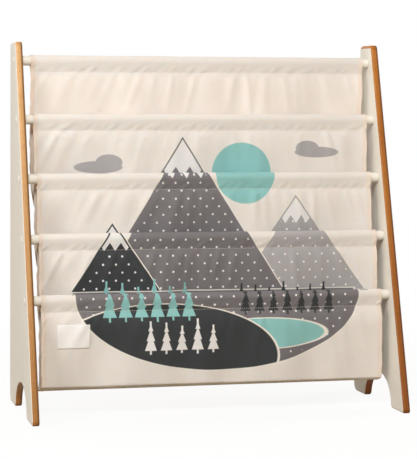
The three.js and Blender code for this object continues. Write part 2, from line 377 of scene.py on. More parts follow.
class Graph:
    """Short calls that add nodes to one node tree and join them."""

    def __init__(self, tree: bpy.types.NodeTree) -> None:
        """Keeps the tree that the nodes go in, and its shader if it has one."""
        self.tree = tree
        self.shader = next((node for node in tree.nodes if node.type == "BSDF_PRINCIPLED"), None)

    def add(self, kind: str, **settings: object) -> Node:
        """Adds a node.

        Args:
            kind: Blender's name of the node's type.
            settings: its own settings by name.

        Returns:
            The node.
        """
        node = self.tree.nodes.new(kind)
        for name, value in settings.items():
            setattr(node, name, value)
        return node

    def feed(self, socket: Socket, value: Given) -> None:
        """Joins a socket to a source, or sets it to a plain value.

        Args:
            socket: the socket.
            value: the source or the value.
        """
        if isinstance(value, Socket):
            self.tree.links.new(value, socket)
        elif socket.type == "RGBA" and len(value) == 3:
            socket.default_value = (*value, 1.0)
        else:
            socket.default_value = value

    def fill(self, node: Node, **values: Given) -> Node:
        """Feeds several inputs of a node.

        Args:
            node: the node.
            values: what its inputs are given, with _ for a space in a name.

        Returns:
            The node.
        """
        for name, value in values.items():
            self.feed(node.inputs[name.replace("_", " ")], value)
        return node

    def math(self, operation: str, *values: Given, clamp: bool = False) -> Socket:
        """Adds one sum.

        Args:
            operation: Blender's name of the operation.
            values: up to three numbers or sockets.
            clamp: whether the result is kept from 0 to 1.

        Returns:
            The result.
        """
        node = self.add("ShaderNodeMath", operation=operation, use_clamp=clamp)
        for socket, value in zip(node.inputs, values):
            self.feed(socket, value)
        return node.outputs[0]

    def plus(self, a: Given, b: Given) -> Socket:
        """Adds b to a."""
        return self.math("ADD", a, b)

    def less(self, a: Given, b: Given) -> Socket:
        """Takes b from a."""
        return self.math("SUBTRACT", a, b)

    def times(self, a: Given, b: Given) -> Socket:
        """Multiplies a by b."""
        return self.math("MULTIPLY", a, b)

    def over(self, a: Given, b: Given) -> Socket:
        """Divides a by b."""
        return self.math("DIVIDE", a, b)

    def least(self, a: Given, b: Given) -> Socket:
        """Gives the smaller of two values."""
        return self.math("MINIMUM", a, b)

    def most(self, a: Given, b: Given) -> Socket:
        """Gives the larger of two values."""
        return self.math("MAXIMUM", a, b)

    def sloped(self, value: Given, slope: Given, start: Given) -> Socket:
        """Multiplies a value by a slope and adds a start."""
        return self.math("MULTIPLY_ADD", value, slope, start)

    def varied(self, pattern: Given, strength: Given) -> Socket:
        """Turns a pattern round 0.5 into a factor round 1."""
        return self.sloped(self.less(pattern, 0.5), strength, 1.0)

    def reach(self, x: Given, z: Given) -> Socket:
        """Gives the length of a step across and up."""
        return self.math("SQRT", self.plus(self.math("POWER", x, 2.0), self.math("POWER", z, 2.0)))

    def within(self, distance: Given, soft: float) -> Socket:
        """Turns a distance inside an edge into a mask from 0 to 1, with a soft border."""
        return self.math("MULTIPLY_ADD", distance, 1.0 / soft, 0.5, clamp=True)

    def mix(self, share: Given, a: Given, b: Given, blend: str = "MIX") -> Socket:
        """Mixes two colours.

        Args:
            share: how much of b shows.
            a: the first colour.
            b: the second colour.
            blend: Blender's name of the blend.

        Returns:
            The mixed colour.
        """
        node = self.add("ShaderNodeMix", data_type="RGBA", blend_type=blend)
        for index, value in ((0, share), (6, a), (7, b)):
            self.feed(node.inputs[index], value)
        return node.outputs[2]

    def tinted(self, a: Given, b: Given) -> Socket:
        """Multiplies two colours."""
        return self.mix(1.0, a, b, "MULTIPLY")

    def noise(self, place: Given, scale: Given, detail: float = 2.0, rough: float = 0.5) -> Socket:
        """Adds cloudy noise round 0.5, with a number of finer layers and how strong they are."""
        node = self.add("ShaderNodeTexNoise")
        return self.fill(node, Vector=place, Scale=scale, Detail=detail, Roughness=rough).outputs[0]

    def stretch(self, place: Given, scale: Triple) -> Socket:
        """Scales a place along each axis, so that a pattern is stretched."""
        return self.fill(self.add("ShaderNodeMapping"), Vector=place, Scale=scale).outputs[0]

    def parts(self, place: Given) -> Sequence[Socket]:
        """Splits a place into its X, Y and Z."""
        return self.fill(self.add("ShaderNodeSeparateXYZ"), Vector=place).outputs

    def attribute(self, name: str, number: bool = False) -> Socket:
        """Reads an attribute of the piece's own mesh, as a place or as one number."""
        node = self.add("ShaderNodeAttribute", attribute_type="GEOMETRY", attribute_name=name)
        return node.outputs["Fac" if number else "Vector"]

    def object_place(self) -> Socket:
        """Reads the point's place on the piece."""
        return self.add("ShaderNodeTexCoord").outputs["Object"]


@dataclass(frozen=True)
class Port:
    """One named input or output of a shared effect."""

    name: str
    kind: str
    default: Given = None


NUMBER, PLACE, COLOUR = "NodeSocketFloat", "NodeSocketVector", "NodeSocketColor"


class Effect:
    """A surface effect that several finishes share, kept as one shader node group."""

    name: str = "effect"
    takes: tuple[Port, ...] = ()
    gives: tuple[Port, ...] = ()

    def draw(self, graph: Graph, given: Sockets) -> dict[str, Given]:
        """Draws the effect's nodes from the group's inputs, and gives what each output is joined to."""
        raise NotImplementedError

    def tree(self) -> bpy.types.NodeTree:
        """Builds the node group on its first use.

        Returns:
            The group.
        """
        if self.name in bpy.data.node_groups:
            return bpy.data.node_groups[self.name]
        tree = bpy.data.node_groups.new(self.name, "ShaderNodeTree")
        for ports, way in ((self.takes, "INPUT"), (self.gives, "OUTPUT")):
            for port in ports:
                socket = tree.interface.new_socket(name=port.name, in_out=way, socket_type=port.kind)
                if port.default is not None and way == "INPUT":
                    socket.default_value = port.default
        graph = Graph(tree)
        sources = graph.add("NodeGroupInput").outputs
        result = graph.add("NodeGroupOutput")
        drawn = self.draw(graph, {port.name: sources[port.name] for port in self.takes})
        for port in self.gives:
            graph.feed(result.inputs[port.name], drawn[port.name])
        return tree

    def use(self, graph: Graph, **values: Given) -> Sockets:
        """Places the effect in a material with the values of its inputs, and gives its outputs."""
        node = graph.fill(graph.add("ShaderNodeGroup", node_tree=self.tree()), **values)
        return {port.name: node.outputs[port.name] for port in self.gives}


class FineWeave(Effect):
    """Plain weave of fine canvas: crossing threads, uneven yarns and a soft nap."""

    name = "fine_weave"
    takes = (Port("Place", PLACE), Port("Thread Pitch", NUMBER, 0.6), Port("Unevenness", NUMBER, 0.05))
    gives = (Port("Tone", NUMBER), Port("Height", NUMBER))
    yarns = ((1.1, 0.045, 1.0), (0.045, 1.1, 1.0))
    nap_scale = 0.02
    nap_share = 0.8

    def draw(self, graph: Graph, given: Sockets) -> dict[str, Given]:
        """Draws the weave from the cloth's own place in millimetres.

        Args:
            graph: the group's own graph.
            given: the group's inputs by name.

        Returns:
            A tone round 1 and the height of the threads from 0 to 1.
        """
        across, along, _ = graph.parts(given["Place"])
        turn = graph.over(math.pi, given["Thread Pitch"])
        warp, weft = (graph.math("SINE", graph.times(way, turn)) for way in (across, along))
        height = graph.sloped(graph.times(warp, weft), 0.5, 0.5)
        long_yarns, cross_yarns = (
            graph.noise(graph.stretch(given["Place"], scale), 1.0, 3.0, 0.6) for scale in self.yarns)
        nap = graph.noise(given["Place"], self.nap_scale, 3.0, 0.6)
        uneven = graph.plus(graph.plus(long_yarns, cross_yarns), graph.times(nap, self.nap_share))
        uneven = graph.less(uneven, 1.0 + self.nap_share / 2)
        tone = graph.sloped(uneven, given["Unevenness"], 1.0)
        # Painted light and shade: thread crowns are made a little lighter than the hollows between them.
        tone = graph.sloped(height, 0.03, tone)
        height = graph.sloped(uneven, 0.6, height)
        return {"Tone": tone, "Height": height}


class SprayedPaint(Effect):
    """Satin paint on board: fine orange peel, faint brushed runs and slight clouding."""

    name = "sprayed_paint"
    takes = (Port("Place", PLACE), Port("Clouding", NUMBER, 0.03))
    gives = (Port("Tone", NUMBER), Port("Gloss Change", NUMBER), Port("Height", NUMBER))
    peel_scale = 0.55
    run_scale = (0.25, 0.25, 0.012)
    cloud_scale = 0.011
    gloss_change = 0.12

    def draw(self, graph: Graph, given: Sockets) -> dict[str, Given]:
        """Draws the paint from a place in millimetres.

        Args:
            graph: the group's own graph.
            given: the group's inputs by name.

        Returns:
            A tone round 1, a change in roughness and the height of the peel.
        """
        peel = graph.noise(given["Place"], self.peel_scale)
        runs = graph.noise(graph.stretch(given["Place"], self.run_scale), 1.0, 3.0, 0.55)
        clouds = graph.noise(given["Place"], self.cloud_scale)
        uneven = graph.less(graph.plus(runs, clouds), 1.0)
        tone = graph.sloped(uneven, given["Clouding"], 1.0)
        gloss = graph.times(graph.less(peel, 0.5), self.gloss_change)
        height = graph.sloped(runs, 0.5, peel)
        return {"Tone": tone, "Gloss Change": gloss, "Height": height}


class LongGrain(Effect):
    """Clear-lacquered wood seen on its edge: streaks, pores and a few thin layers."""

    name = "long_grain"
    takes = (
        Port("Along", NUMBER), Port("Across", NUMBER), Port("Pale Wood", COLOUR), Port("Dark Wood", COLOUR),
        Port("Layer Depth", NUMBER, 0.1))
    gives = (Port("Color", COLOUR), Port("Height", NUMBER), Port("Gloss Change", NUMBER))
    streak_scale = (0.022, 0.75, 1.0)
    band_scale = (0.006, 0.16, 1.0)
    pore_scale = (0.16, 3.4, 1.0)
    fleck_scale = 0.09
    layer_pitch = 2.4
    dark_share = 0.42
    pore_colour = (0.16, 0.07, 0.02)

    def draw(self, graph: Graph, given: Sockets) -> dict[str, Given]:
        """Draws the wood from places in millimetres along and across the edge.

        Args:
            graph: the group's own graph.
            given: the group's inputs by name.

        Returns:
            The wood's colour, the height of its pores and a change in roughness.
        """
        joined = graph.add("ShaderNodeCombineXYZ")
        place = graph.fill(joined, X=given["Along"], Y=given["Across"]).outputs[0]
        streaks = graph.noise(graph.stretch(place, self.streak_scale), 1.0, 4.0, 0.6)
        bands = graph.noise(graph.stretch(place, self.band_scale), 1.0)
        pores = graph.noise(graph.stretch(place, self.pore_scale), 1.0, 2.0, 0.6)
        pores = graph.within(graph.less(pores, 0.61), 0.07)
        flecks = graph.noise(place, self.fleck_scale, 3.0, 0.6)
        share: Given = self.dark_share
        for pattern, strength in ((streaks, 1.5), (bands, 1.0), (flecks, 0.7)):
            share = graph.sloped(graph.less(pattern, 0.5), strength, share)
        layers = graph.math("SINE", graph.times(given["Across"], 2 * math.pi / self.layer_pitch))
        layers = graph.times(layers, given["Layer Depth"])
        share = graph.math("ADD", share, layers, clamp=True)
        colour = graph.mix(share, given["Pale Wood"], given["Dark Wood"])
        colour = graph.mix(graph.times(pores, 0.35), colour, self.pore_colour)
        height = graph.less(graph.times(streaks, 0.4), pores)
        gloss = graph.times(pores, 0.2)
        return {"Color": colour, "Height": height, "Gloss Change": gloss}


class Ink(Enum):
    """Colours of the printed landscape, as light reflected from flat cloth."""

    GROUND = (0.850, 0.785, 0.735)
    GREY = (0.205, 0.195, 0.205)
    PALE_GREY = (0.430, 0.420, 0.425)
    CHARCOAL = (0.050, 0.055, 0.058)
    TEAL = (0.290, 0.570, 0.560)
    WHITE = (0.860, 0.835, 0.820)
    KEYLINE = (0.880, 0.830, 0.750)


class Spot(NamedTuple):
    """A point of the print: the graph that its place is worked out in, and its place in millimetres."""

    graph: Graph
    across: Given
    up: Given


@dataclass(frozen=True)
class Peak:
    """A printed mountain: a tip, the slope of its sides and a cap of snow.

    Attributes:
        tip: its top, in millimetres across and up.
        slope: how steep its sides are.
        ink: its colour.
        snow: height of its cap of snow.
        teeth: width of one tooth of the snow's lower edge.
        tooth_slope: how steep a tooth is.
    """

    tip: Point
    slope: float
    ink: Ink
    snow: float
    teeth: float
    tooth_slope: float = 1.5

    def inside(self, spot: Spot) -> Socket:
        """Measures how far a point lies inside the mountain.

        Args:
            spot: the point.

        Returns:
            The distance, negative outside.
        """
        graph, across, up = spot
        side = graph.math("ABSOLUTE", graph.less(across, self.tip[0]))
        edge = graph.sloped(side, -self.slope, self.tip[1])
        return graph.over(graph.less(edge, up), math.hypot(1.0, self.slope))

    def snowed(self, spot: Spot) -> Socket:
        """Measures how far a point lies above the toothed lower edge of the snow.

        Args:
            spot: the point.

        Returns:
            The distance, negative below the edge.
        """
        graph, across, up = spot
        tooth = graph.math("PINGPONG", graph.less(across, self.tip[0]), self.teeth / 2)
        edge = graph.sloped(tooth, self.tooth_slope, self.tip[1] - self.snow - self.teeth * 0.4)
        return graph.less(up, edge)


@dataclass(frozen=True)
class Oval:
    """A printed oval.

    Attributes:
        centre: its centre, in millimetres across and up.
        half: half its width and half its height.
        ink: its colour.
    """

    centre: Point
    half: Point
    ink: Ink

    def inside(self, spot: Spot) -> Socket:
        """Measures about how far a point lies inside the oval.

        Args:
            spot: the point.

        Returns:
            The distance, negative outside.
        """
        graph, across, up = spot
        x = graph.over(graph.less(across, self.centre[0]), self.half[0])
        z = graph.over(graph.less(up, self.centre[1]), self.half[1])
        return graph.times(graph.less(1.0, graph.reach(x, z)), min(self.half))


@dataclass(frozen=True)
class PineRow:
    """A row of printed pines.

    Attributes:
        reach: where the row starts and ends across.
        foot: height of the lowest branches.
        height: a tree's height.
        pitch: distance from tree to tree.
        ink: their colour.
        tiers: how many tiers of branches a tree has.
        trunk: length of its trunk, as a share of its height.
        trunk_half: half the trunk's width.
    """

    reach: Point
    foot: float
    height: float
    pitch: float
    ink: Ink
    tiers: float = 3.0
    trunk: float = 0.13
    trunk_half: float = 1.6

    def inside(self, spot: Spot) -> Socket:
        """Measures how far a point lies inside the nearest tree.

        Args:
            spot: the point.

        Returns:
            The distance, negative outside.
        """
        graph, across, up = spot
        from_start = graph.less(across, self.reach[0])
        tree = graph.math("FLOOR", graph.over(from_start, self.pitch))
        beside = graph.math("ABSOLUTE", graph.sloped(graph.plus(tree, 0.5), -self.pitch, from_start))
        change = graph.math("SINE", graph.sloped(tree, 2.4, 0.6))
        tall = graph.sloped(change, self.height * 0.14, self.height)
        climb = graph.over(graph.less(up, self.foot), tall)
        tier = graph.math("FRACT", graph.times(climb, self.tiers))
        taper = graph.less(1.0, climb)
        half = graph.times(taper, self.height * 0.19)
        half = graph.sloped(tier, self.height * -0.06, graph.plus(half, self.height * 0.03))
        crown = graph.least(graph.less(half, beside), graph.times(graph.least(climb, taper), self.height))
        trunk_end = graph.times(graph.least(graph.plus(climb, self.trunk), taper), self.height)
        trunk = graph.least(graph.less(self.trunk_half, beside), trunk_end)
        sides = graph.least(from_start, graph.less(self.reach[1], across))
        return graph.least(graph.most(crown, trunk), sides)


class LandscapePrint(Effect):
    """A plain nursery landscape: snowy mountains, a round moon, pines, a lake and clouds."""

    name = "landscape_print"
    takes = (Port("Place", PLACE),)
    gives = (Port("Color", COLOUR), Port("Ink", NUMBER))

    edge: float = 0.7
    keyline: float = 1.7
    land = Oval((8.0, 194.0), (236.0, 124.0), Ink.GREY)
    skyline: float = 194.0
    clouds = (
        Oval((-176.0, 396.0), (40.0, 10.0), Ink.PALE_GREY),
        Oval((-158.0, 404.0), (22.0, 13.0), Ink.PALE_GREY),
        Oval((196.0, 420.0), (38.0, 9.0), Ink.PALE_GREY),
        Oval((180.0, 427.0), (20.0, 12.0), Ink.PALE_GREY),
    )
    moon = Oval((66.0, 386.0), (50.0, 50.0), Ink.TEAL)
    peaks = (
        Peak((152.0, 350.0), 1.42, Ink.PALE_GREY, 40.0, 18.0),
        Peak((-34.0, 446.0), 1.60, Ink.GREY, 58.0, 24.0),
        Peak((-158.0, 306.0), 1.50, Ink.CHARCOAL, 36.0, 18.0),
    )
    hill = Oval((-86.0, 92.0), (190.0, 86.0), Ink.CHARCOAL)
    lake = Oval((86.0, 128.0), (98.0, 24.0), Ink.TEAL)
    pines = (
        PineRow((-186.0, -30.0), 158.0, 52.0, 26.0, Ink.TEAL),
        PineRow((40.0, 204.0), 164.0, 40.0, 23.5, Ink.CHARCOAL),
        PineRow((-120.0, 10.0), 104.0, 44.0, 26.0, Ink.WHITE),
    )
    dot_pitch: float = 21.0
    dot_rise: float = 21.0 * 0.62
    dot_radius: float = 1.7
    dot_inset: float = 5.0
    land_dot_inset: float = 4.0
    snow_inset: float = 2.5

    def dots(self, spot: Spot) -> Socket:
        """Measures how far a point lies inside the nearest of many staggered dots.

        Args:
            spot: the point.

        Returns:
            The distance, negative outside.
        """
        graph, across, up = spot
        rise = self.dot_rise
        line = graph.math("FLOOR", graph.over(up, rise))
        shift = graph.times(graph.math("FRACT", graph.times(line, 0.5)), self.dot_pitch)
        x = graph.math("FRACT", graph.over(graph.plus(across, shift), self.dot_pitch))
        z = graph.math("FRACT", graph.over(up, rise))
        x = graph.times(graph.less(x, 0.5), self.dot_pitch)
        z = graph.times(graph.less(z, 0.5), rise)
        return graph.less(self.dot_radius, graph.reach(x, z))

    def draw(self, graph: Graph, given: Sockets) -> dict[str, Given]:
        """Draws the landscape from places in millimetres across and up, back to front.

        Args:
            graph: the group's own graph.
            given: the group's inputs by name.

        Returns:
            The cloth's colour and how much of it is ink.
        """
        across, up, _ = graph.parts(given["Place"])
        spot = Spot(graph, across, up)
        colour: Given = Ink.GROUND.value
        inked: Given = 0.0

        def lay(distance: Given, ink: Ink, border: float = 0.0) -> None:
            """Prints one shape over what is there.

            Args:
                distance: how far a point lies inside it.
                ink: its colour.
                border: width of the pale line round it.
            """
            nonlocal colour, inked
            if border:
                rim = graph.within(graph.plus(distance, border), self.edge)
                colour = graph.mix(rim, colour, Ink.KEYLINE.value)
            mask = graph.within(distance, self.edge)
            colour = graph.mix(mask, colour, ink.value)
            inked = graph.most(inked, mask)

        for shape in (*self.clouds, self.moon):
            lay(shape.inside(spot), shape.ink)
        on_land = graph.most(self.land.inside(spot), graph.less(up, self.skyline))
        dots = self.dots(spot)
        for peak in self.peaks:
            body = graph.least(peak.inside(spot), on_land)
            lay(body, peak.ink, self.keyline)
            lay(graph.least(graph.less(body, self.dot_inset), dots), Ink.WHITE)
            lay(graph.least(graph.less(body, self.snow_inset), peak.snowed(spot)), Ink.WHITE)
        ground = graph.least(self.land.inside(spot), graph.less(self.skyline + 2.0, up))
        lay(ground, self.land.ink, self.keyline)
        lay(graph.least(graph.less(ground, self.land_dot_inset), dots), Ink.WHITE)
        for shape in (self.lake, self.hill):
            lay(graph.least(shape.inside(spot), ground), shape.ink, self.keyline)
        for row in self.pines:
            lay(graph.least(row.inside(spot), on_land), row.ink)
        return {"Color": colour, "Ink": inked}


class Finish:
    """What every finish of the shelf shares: a material that is made once, under the finish's name."""

    name: str

    def dress(self, graph: Graph) -> None:
        """Fills the material's graph round its shader."""
        raise NotImplementedError

    def material(self) -> bpy.types.Material:
        """Makes the material on its first use.

        Returns:
            The material.
        """
        if self.name in bpy.data.materials:
            return bpy.data.materials[self.name]
        made = bpy.data.materials.new(self.name)
        made.use_nodes = True
        self.dress(Graph(made.node_tree))
        return made

    @staticmethod
    def emboss(graph: Graph, height: Given, depth: float) -> None:
        """Raises the surface by a height from 0 to 1, of which 1 stands up by a depth in metres."""
        raised = graph.fill(graph.add("ShaderNodeBump"), Distance=depth, Height=height)
        graph.fill(graph.shader, Normal=raised.outputs[0])

    @staticmethod
    def in_mm(graph: Graph, place: Given) -> Socket:
        """Turns a place in metres into millimetres."""
        return graph.stretch(place, (PER_MM, PER_MM, PER_MM))


@dataclass(frozen=True)
class PaintFinish(Finish):
    """Satin cream paint.

    Attributes:
        colour: the paint.
        roughness: how matt it is.
        clouding: how uneven its tone is.
    """

    name: str
    colour: Colour
    roughness: float
    clouding: float

    def dress(self, graph: Graph) -> None:
        """Paints the piece by its own place.

        Args:
            graph: the material's graph.
        """
        place = self.in_mm(graph, graph.object_place())
        paint = SprayedPaint().use(graph, Place=place, Clouding=self.clouding)
        graph.fill(
            graph.shader, Base_Color=graph.tinted(self.colour, paint["Tone"]),
            Roughness=graph.plus(paint["Gloss Change"], self.roughness), Specular_IOR_Level=0.15)
        self.emboss(graph, paint["Height"], 0.00004)


@dataclass(frozen=True)
class EdgeWoodFinish(Finish):
    """Clear-lacquered wood along the panels' edges, a little darker in the right board.

    Attributes:
        pale: the pale wood of the left board.
        dark: the dark wood of the left board.
        pale_right: the pale wood of the right board.
        dark_right: the dark wood of the right board.
        foot: what multiplies the wood at the floor: painted shade, darker towards the bottom.
        painted_top_light: what multiplies the left board's wood at the top: painted light, lighter towards
            the top.
        painted_top_light_right: the same painted light for the right board.
        rim: what multiplies it along the right-hand rim: painted shade, a dark line where the rounded rim
            turns away from the lamps.
        painted_rim_shade_width: width of that painted dark line, in millimetres.
        painted_lit_side: painted light along the edge's left-hand side, which faces the lamps.
        painted_shaded_side: painted shade along its right-hand side.
    """

    name: str = "lacquered_edge"
    pale: Colour = (0.640, 0.390, 0.170)
    dark: Colour = (0.430, 0.215, 0.068)
    pale_right: Colour = (0.480, 0.200, 0.036)
    dark_right: Colour = (0.270, 0.088, 0.012)
    foot: Colour = (0.62, 0.49, 0.32)
    painted_top_light: Colour = (1.16, 1.22, 1.32)
    painted_top_light_right: Colour = (1.10, 1.08, 1.00)
    rim: Colour = (0.34, 0.25, 0.11)
    painted_rim_shade_width: float = 3.2
    painted_lit_side: Colour = (1.16, 1.13, 1.12)
    painted_shaded_side: Colour = (0.84, 0.79, 0.62)

    def dress(self, graph: Graph) -> None:
        """Runs the grain along the edge, by the place that each board carries.

        Args:
            graph: the material's graph.
        """
        along, across, _ = graph.parts(self.in_mm(graph, graph.attribute("edge_place")))
        x, _, z = graph.parts(graph.object_place())
        right = graph.math("GREATER_THAN", x, 0.0)
        height = graph.math("DIVIDE", z, ShelfSizes.height, clamp=True)
        # Painted light and shade: the wood is made darker towards the floor and lighter towards the top.
        depth = graph.mix(height, self.foot, graph.mix(right, self.painted_top_light, self.painted_top_light_right))
        wood = LongGrain().use(
            graph, Along=along, Across=across, Layer_Depth=0.07,
            Pale_Wood=graph.mix(right, self.pale, self.pale_right),
            Dark_Wood=graph.mix(right, self.dark, self.dark_right))
        board, width = ShelfSizes.panel_thickness * PER_MM, ShelfSizes.width * PER_MM
        rim = graph.sloped(right, width - board, board - width / 2)
        from_rim = graph.less(across, rim)
        # Painted light on the left-hand side of each edge, which faces the lamps, and painted shade on its
        # right-hand side.
        part = graph.mix(graph.within(from_rim, board * 1.6), self.painted_lit_side, self.painted_shaded_side)
        # Painted shade: a dark line along the right-hand rim, which turns away from the lamps.
        painted_rim_shade = graph.within(graph.plus(from_rim, self.painted_rim_shade_width), 2.2)
        depth = graph.mix(painted_rim_shade, graph.tinted(depth, part), self.rim)
        graph.fill(
            graph.shader, Base_Color=graph.tinted(wood["Color"], depth),
            Roughness=graph.plus(wood["Gloss Change"], 0.42), Specular_IOR_Level=0.25)
        self.emboss(graph, wood["Height"], 0.00006)


@dataclass(frozen=True)
class CanvasFinish(Finish):
    """Printed cream canvas with a plain reverse; painted shade lies on the reverse and on the hems.

    Attributes:
        reverse: the unprinted side, darker and warmer than the cloth as painted shade inside the pockets.
        painted_hem_shade: what the doubled cloth of the hems is multiplied by: painted shade, darker and
            warmer.
        painted_hem_shade_reverse: the same painted shade on the unprinted side, stronger.
    """

    name: str = "printed_canvas"
    reverse: Colour = (0.830, 0.705, 0.570)
    painted_hem_shade: Colour = (0.985, 0.940, 0.895)
    painted_hem_shade_reverse: Colour = (1.00, 0.86, 0.72)

    def dress(self, graph: Graph) -> None:
        """Weaves the cloth by its own place and prints it by its place when hung.

        Args:
            graph: the material's graph.
        """
        place = self.in_mm(graph, graph.attribute("cloth_place"))
        weave = FineWeave().use(graph, Place=place, Thread_Pitch=0.62, Unevenness=0.09)
        picture = LandscapePrint().use(graph, Place=self.in_mm(graph, graph.attribute("print_place")))
        printed = graph.attribute("printed", number=True)
        # The unprinted side takes a darker, warmer colour: painted shade for the pockets' insides.
        colour = graph.mix(printed, self.reverse, picture["Color"])
        # Painted shade on the hems: darker and warmer, more so on the unprinted side.
        painted_hem_shade_colour = graph.mix(printed, self.painted_hem_shade_reverse, self.painted_hem_shade)
        hem = graph.mix(graph.attribute("hem", number=True), (1.0, 1.0, 1.0), painted_hem_shade_colour)
        graph.fill(
            graph.shader, Base_Color=graph.tinted(graph.tinted(colour, hem), weave["Tone"]),
            Roughness=graph.sloped(graph.times(picture["Ink"], printed), -0.22, 0.86),
            Specular_IOR_Level=0.15, Sheen_Weight=0.04, Sheen_Roughness=0.45,
            Subsurface_Weight=0.7, Subsurface_Radius=(1.0, 0.80, 0.66), Subsurface_Scale=0.0017)
        self.emboss(graph, weave["Height"], 0.00007)


@dataclass(frozen=True)
class PlainClothFinish(Finish):
    """Plain woven cloth or thread of one colour.

    Attributes:
        colour: the cloth.
        pitch: distance between its threads, in millimetres.
        attribute: the place that the weave follows, or nothing for the piece's own place.
    """

    name: str
    colour: Colour
    pitch: float
    attribute: str = ""

    def dress(self, graph: Graph) -> None:
        """Weaves the cloth.

        Args:
            graph: the material's graph.
        """
        source = graph.attribute(self.attribute) if self.attribute else graph.object_place()
        weave = FineWeave().use(
            graph, Place=self.in_mm(graph, source), Thread_Pitch=self.pitch, Unevenness=0.07)
        graph.fill(
            graph.shader, Base_Color=graph.tinted(self.colour, weave["Tone"]),
            Roughness=graph.sloped(weave["Height"], 0.06, 0.74), Sheen_Weight=0.15)
        self.emboss(graph, weave["Height"], 0.00005)


@dataclass(frozen=True)
class MouldedFinish(Finish):
    """Satin moulded plastic.

    Attributes:
        colour: the plastic.
    """

    name: str
    colour: Colour

    def dress(self, graph: Graph) -> None:
        """Gives the plastic the fine grain of its mould.

        Args:
            graph: the material's graph.
        """
        place = self.in_mm(graph, graph.object_place())
        grain = graph.noise(place, 2.2)
        tone = graph.varied(graph.noise(place, 0.12), 0.05)
        graph.fill(
            graph.shader, Base_Color=graph.tinted(self.colour, tone),
            Roughness=graph.sloped(grain, 0.12, 0.38))
        self.emboss(graph, grain, 0.00002)


@dataclass(frozen=True)
class TurnedMetalFinish(Finish):
    """Turned metal with fine rings and slight staining.

    Attributes:
        colour: the metal.
        stained: the metal where it has dulled.
        roughness: how dull it is.
    """

    name: str
    colour: Colour
    stained: Colour
    roughness: float

    def dress(self, graph: Graph) -> None:
        """Turns fine rings along X and dulls the metal in patches.

        Args:
            graph: the material's graph.
        """
        place = self.in_mm(graph, graph.object_place())
        rings = graph.noise(graph.stretch(place, (5.0, 0.05, 0.05)), 1.0)
        stains = graph.noise(place, 0.4, 3.0, 0.6)
        patches = graph.within(graph.less(stains, 0.56), 0.25)
        dull = graph.sloped(patches, 0.15, self.roughness)
        graph.fill(
            graph.shader, Base_Color=graph.mix(patches, self.colour, self.stained),
            Roughness=graph.sloped(rings, 0.1, dull), Metallic=graph.sloped(patches, -0.12, 1.0))
        self.emboss(graph, rings, 0.00003)


PANEL_PAINT = PaintFinish("cream_panel_paint", (0.872, 0.848, 0.765), 0.46, 0.05)
ROD_PAINT = PaintFinish("cream_rod_paint", (0.885, 0.860, 0.790), 0.42, 0.04)
EDGE_WOOD = EdgeWoodFinish()
CANVAS = CanvasFinish()
THREAD = PlainClothFinish("cream_thread", (0.780, 0.690, 0.560), 0.45)
LABEL_CLOTH = PlainClothFinish("white_label_cloth", (0.900, 0.890, 0.885), 0.5, "cloth_place")
CAP_PLASTIC = MouldedFinish("cream_cap_plastic", (0.880, 0.855, 0.785))
ZINC = TurnedMetalFinish("zinc_plated_steel", (0.70, 0.71, 0.73), (0.52, 0.53, 0.55), 0.30)
BRASS = TurnedMetalFinish("turned_brass", (0.78, 0.58, 0.26), (0.52, 0.36, 0.15), 0.32)


def put_on_shelf(piece: Piece, slot: Slot, *nodes: str) -> Piece:
    """Makes a finished piece ride on the shelf and stand for its CAD nodes.

    Args:
        piece: the piece.
        slot: not used.
        nodes: the CAD nodes that it replaces.

    Returns:
        The piece.
    """
    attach(piece, BODY)
    if nodes:
        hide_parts(*nodes)
    return piece


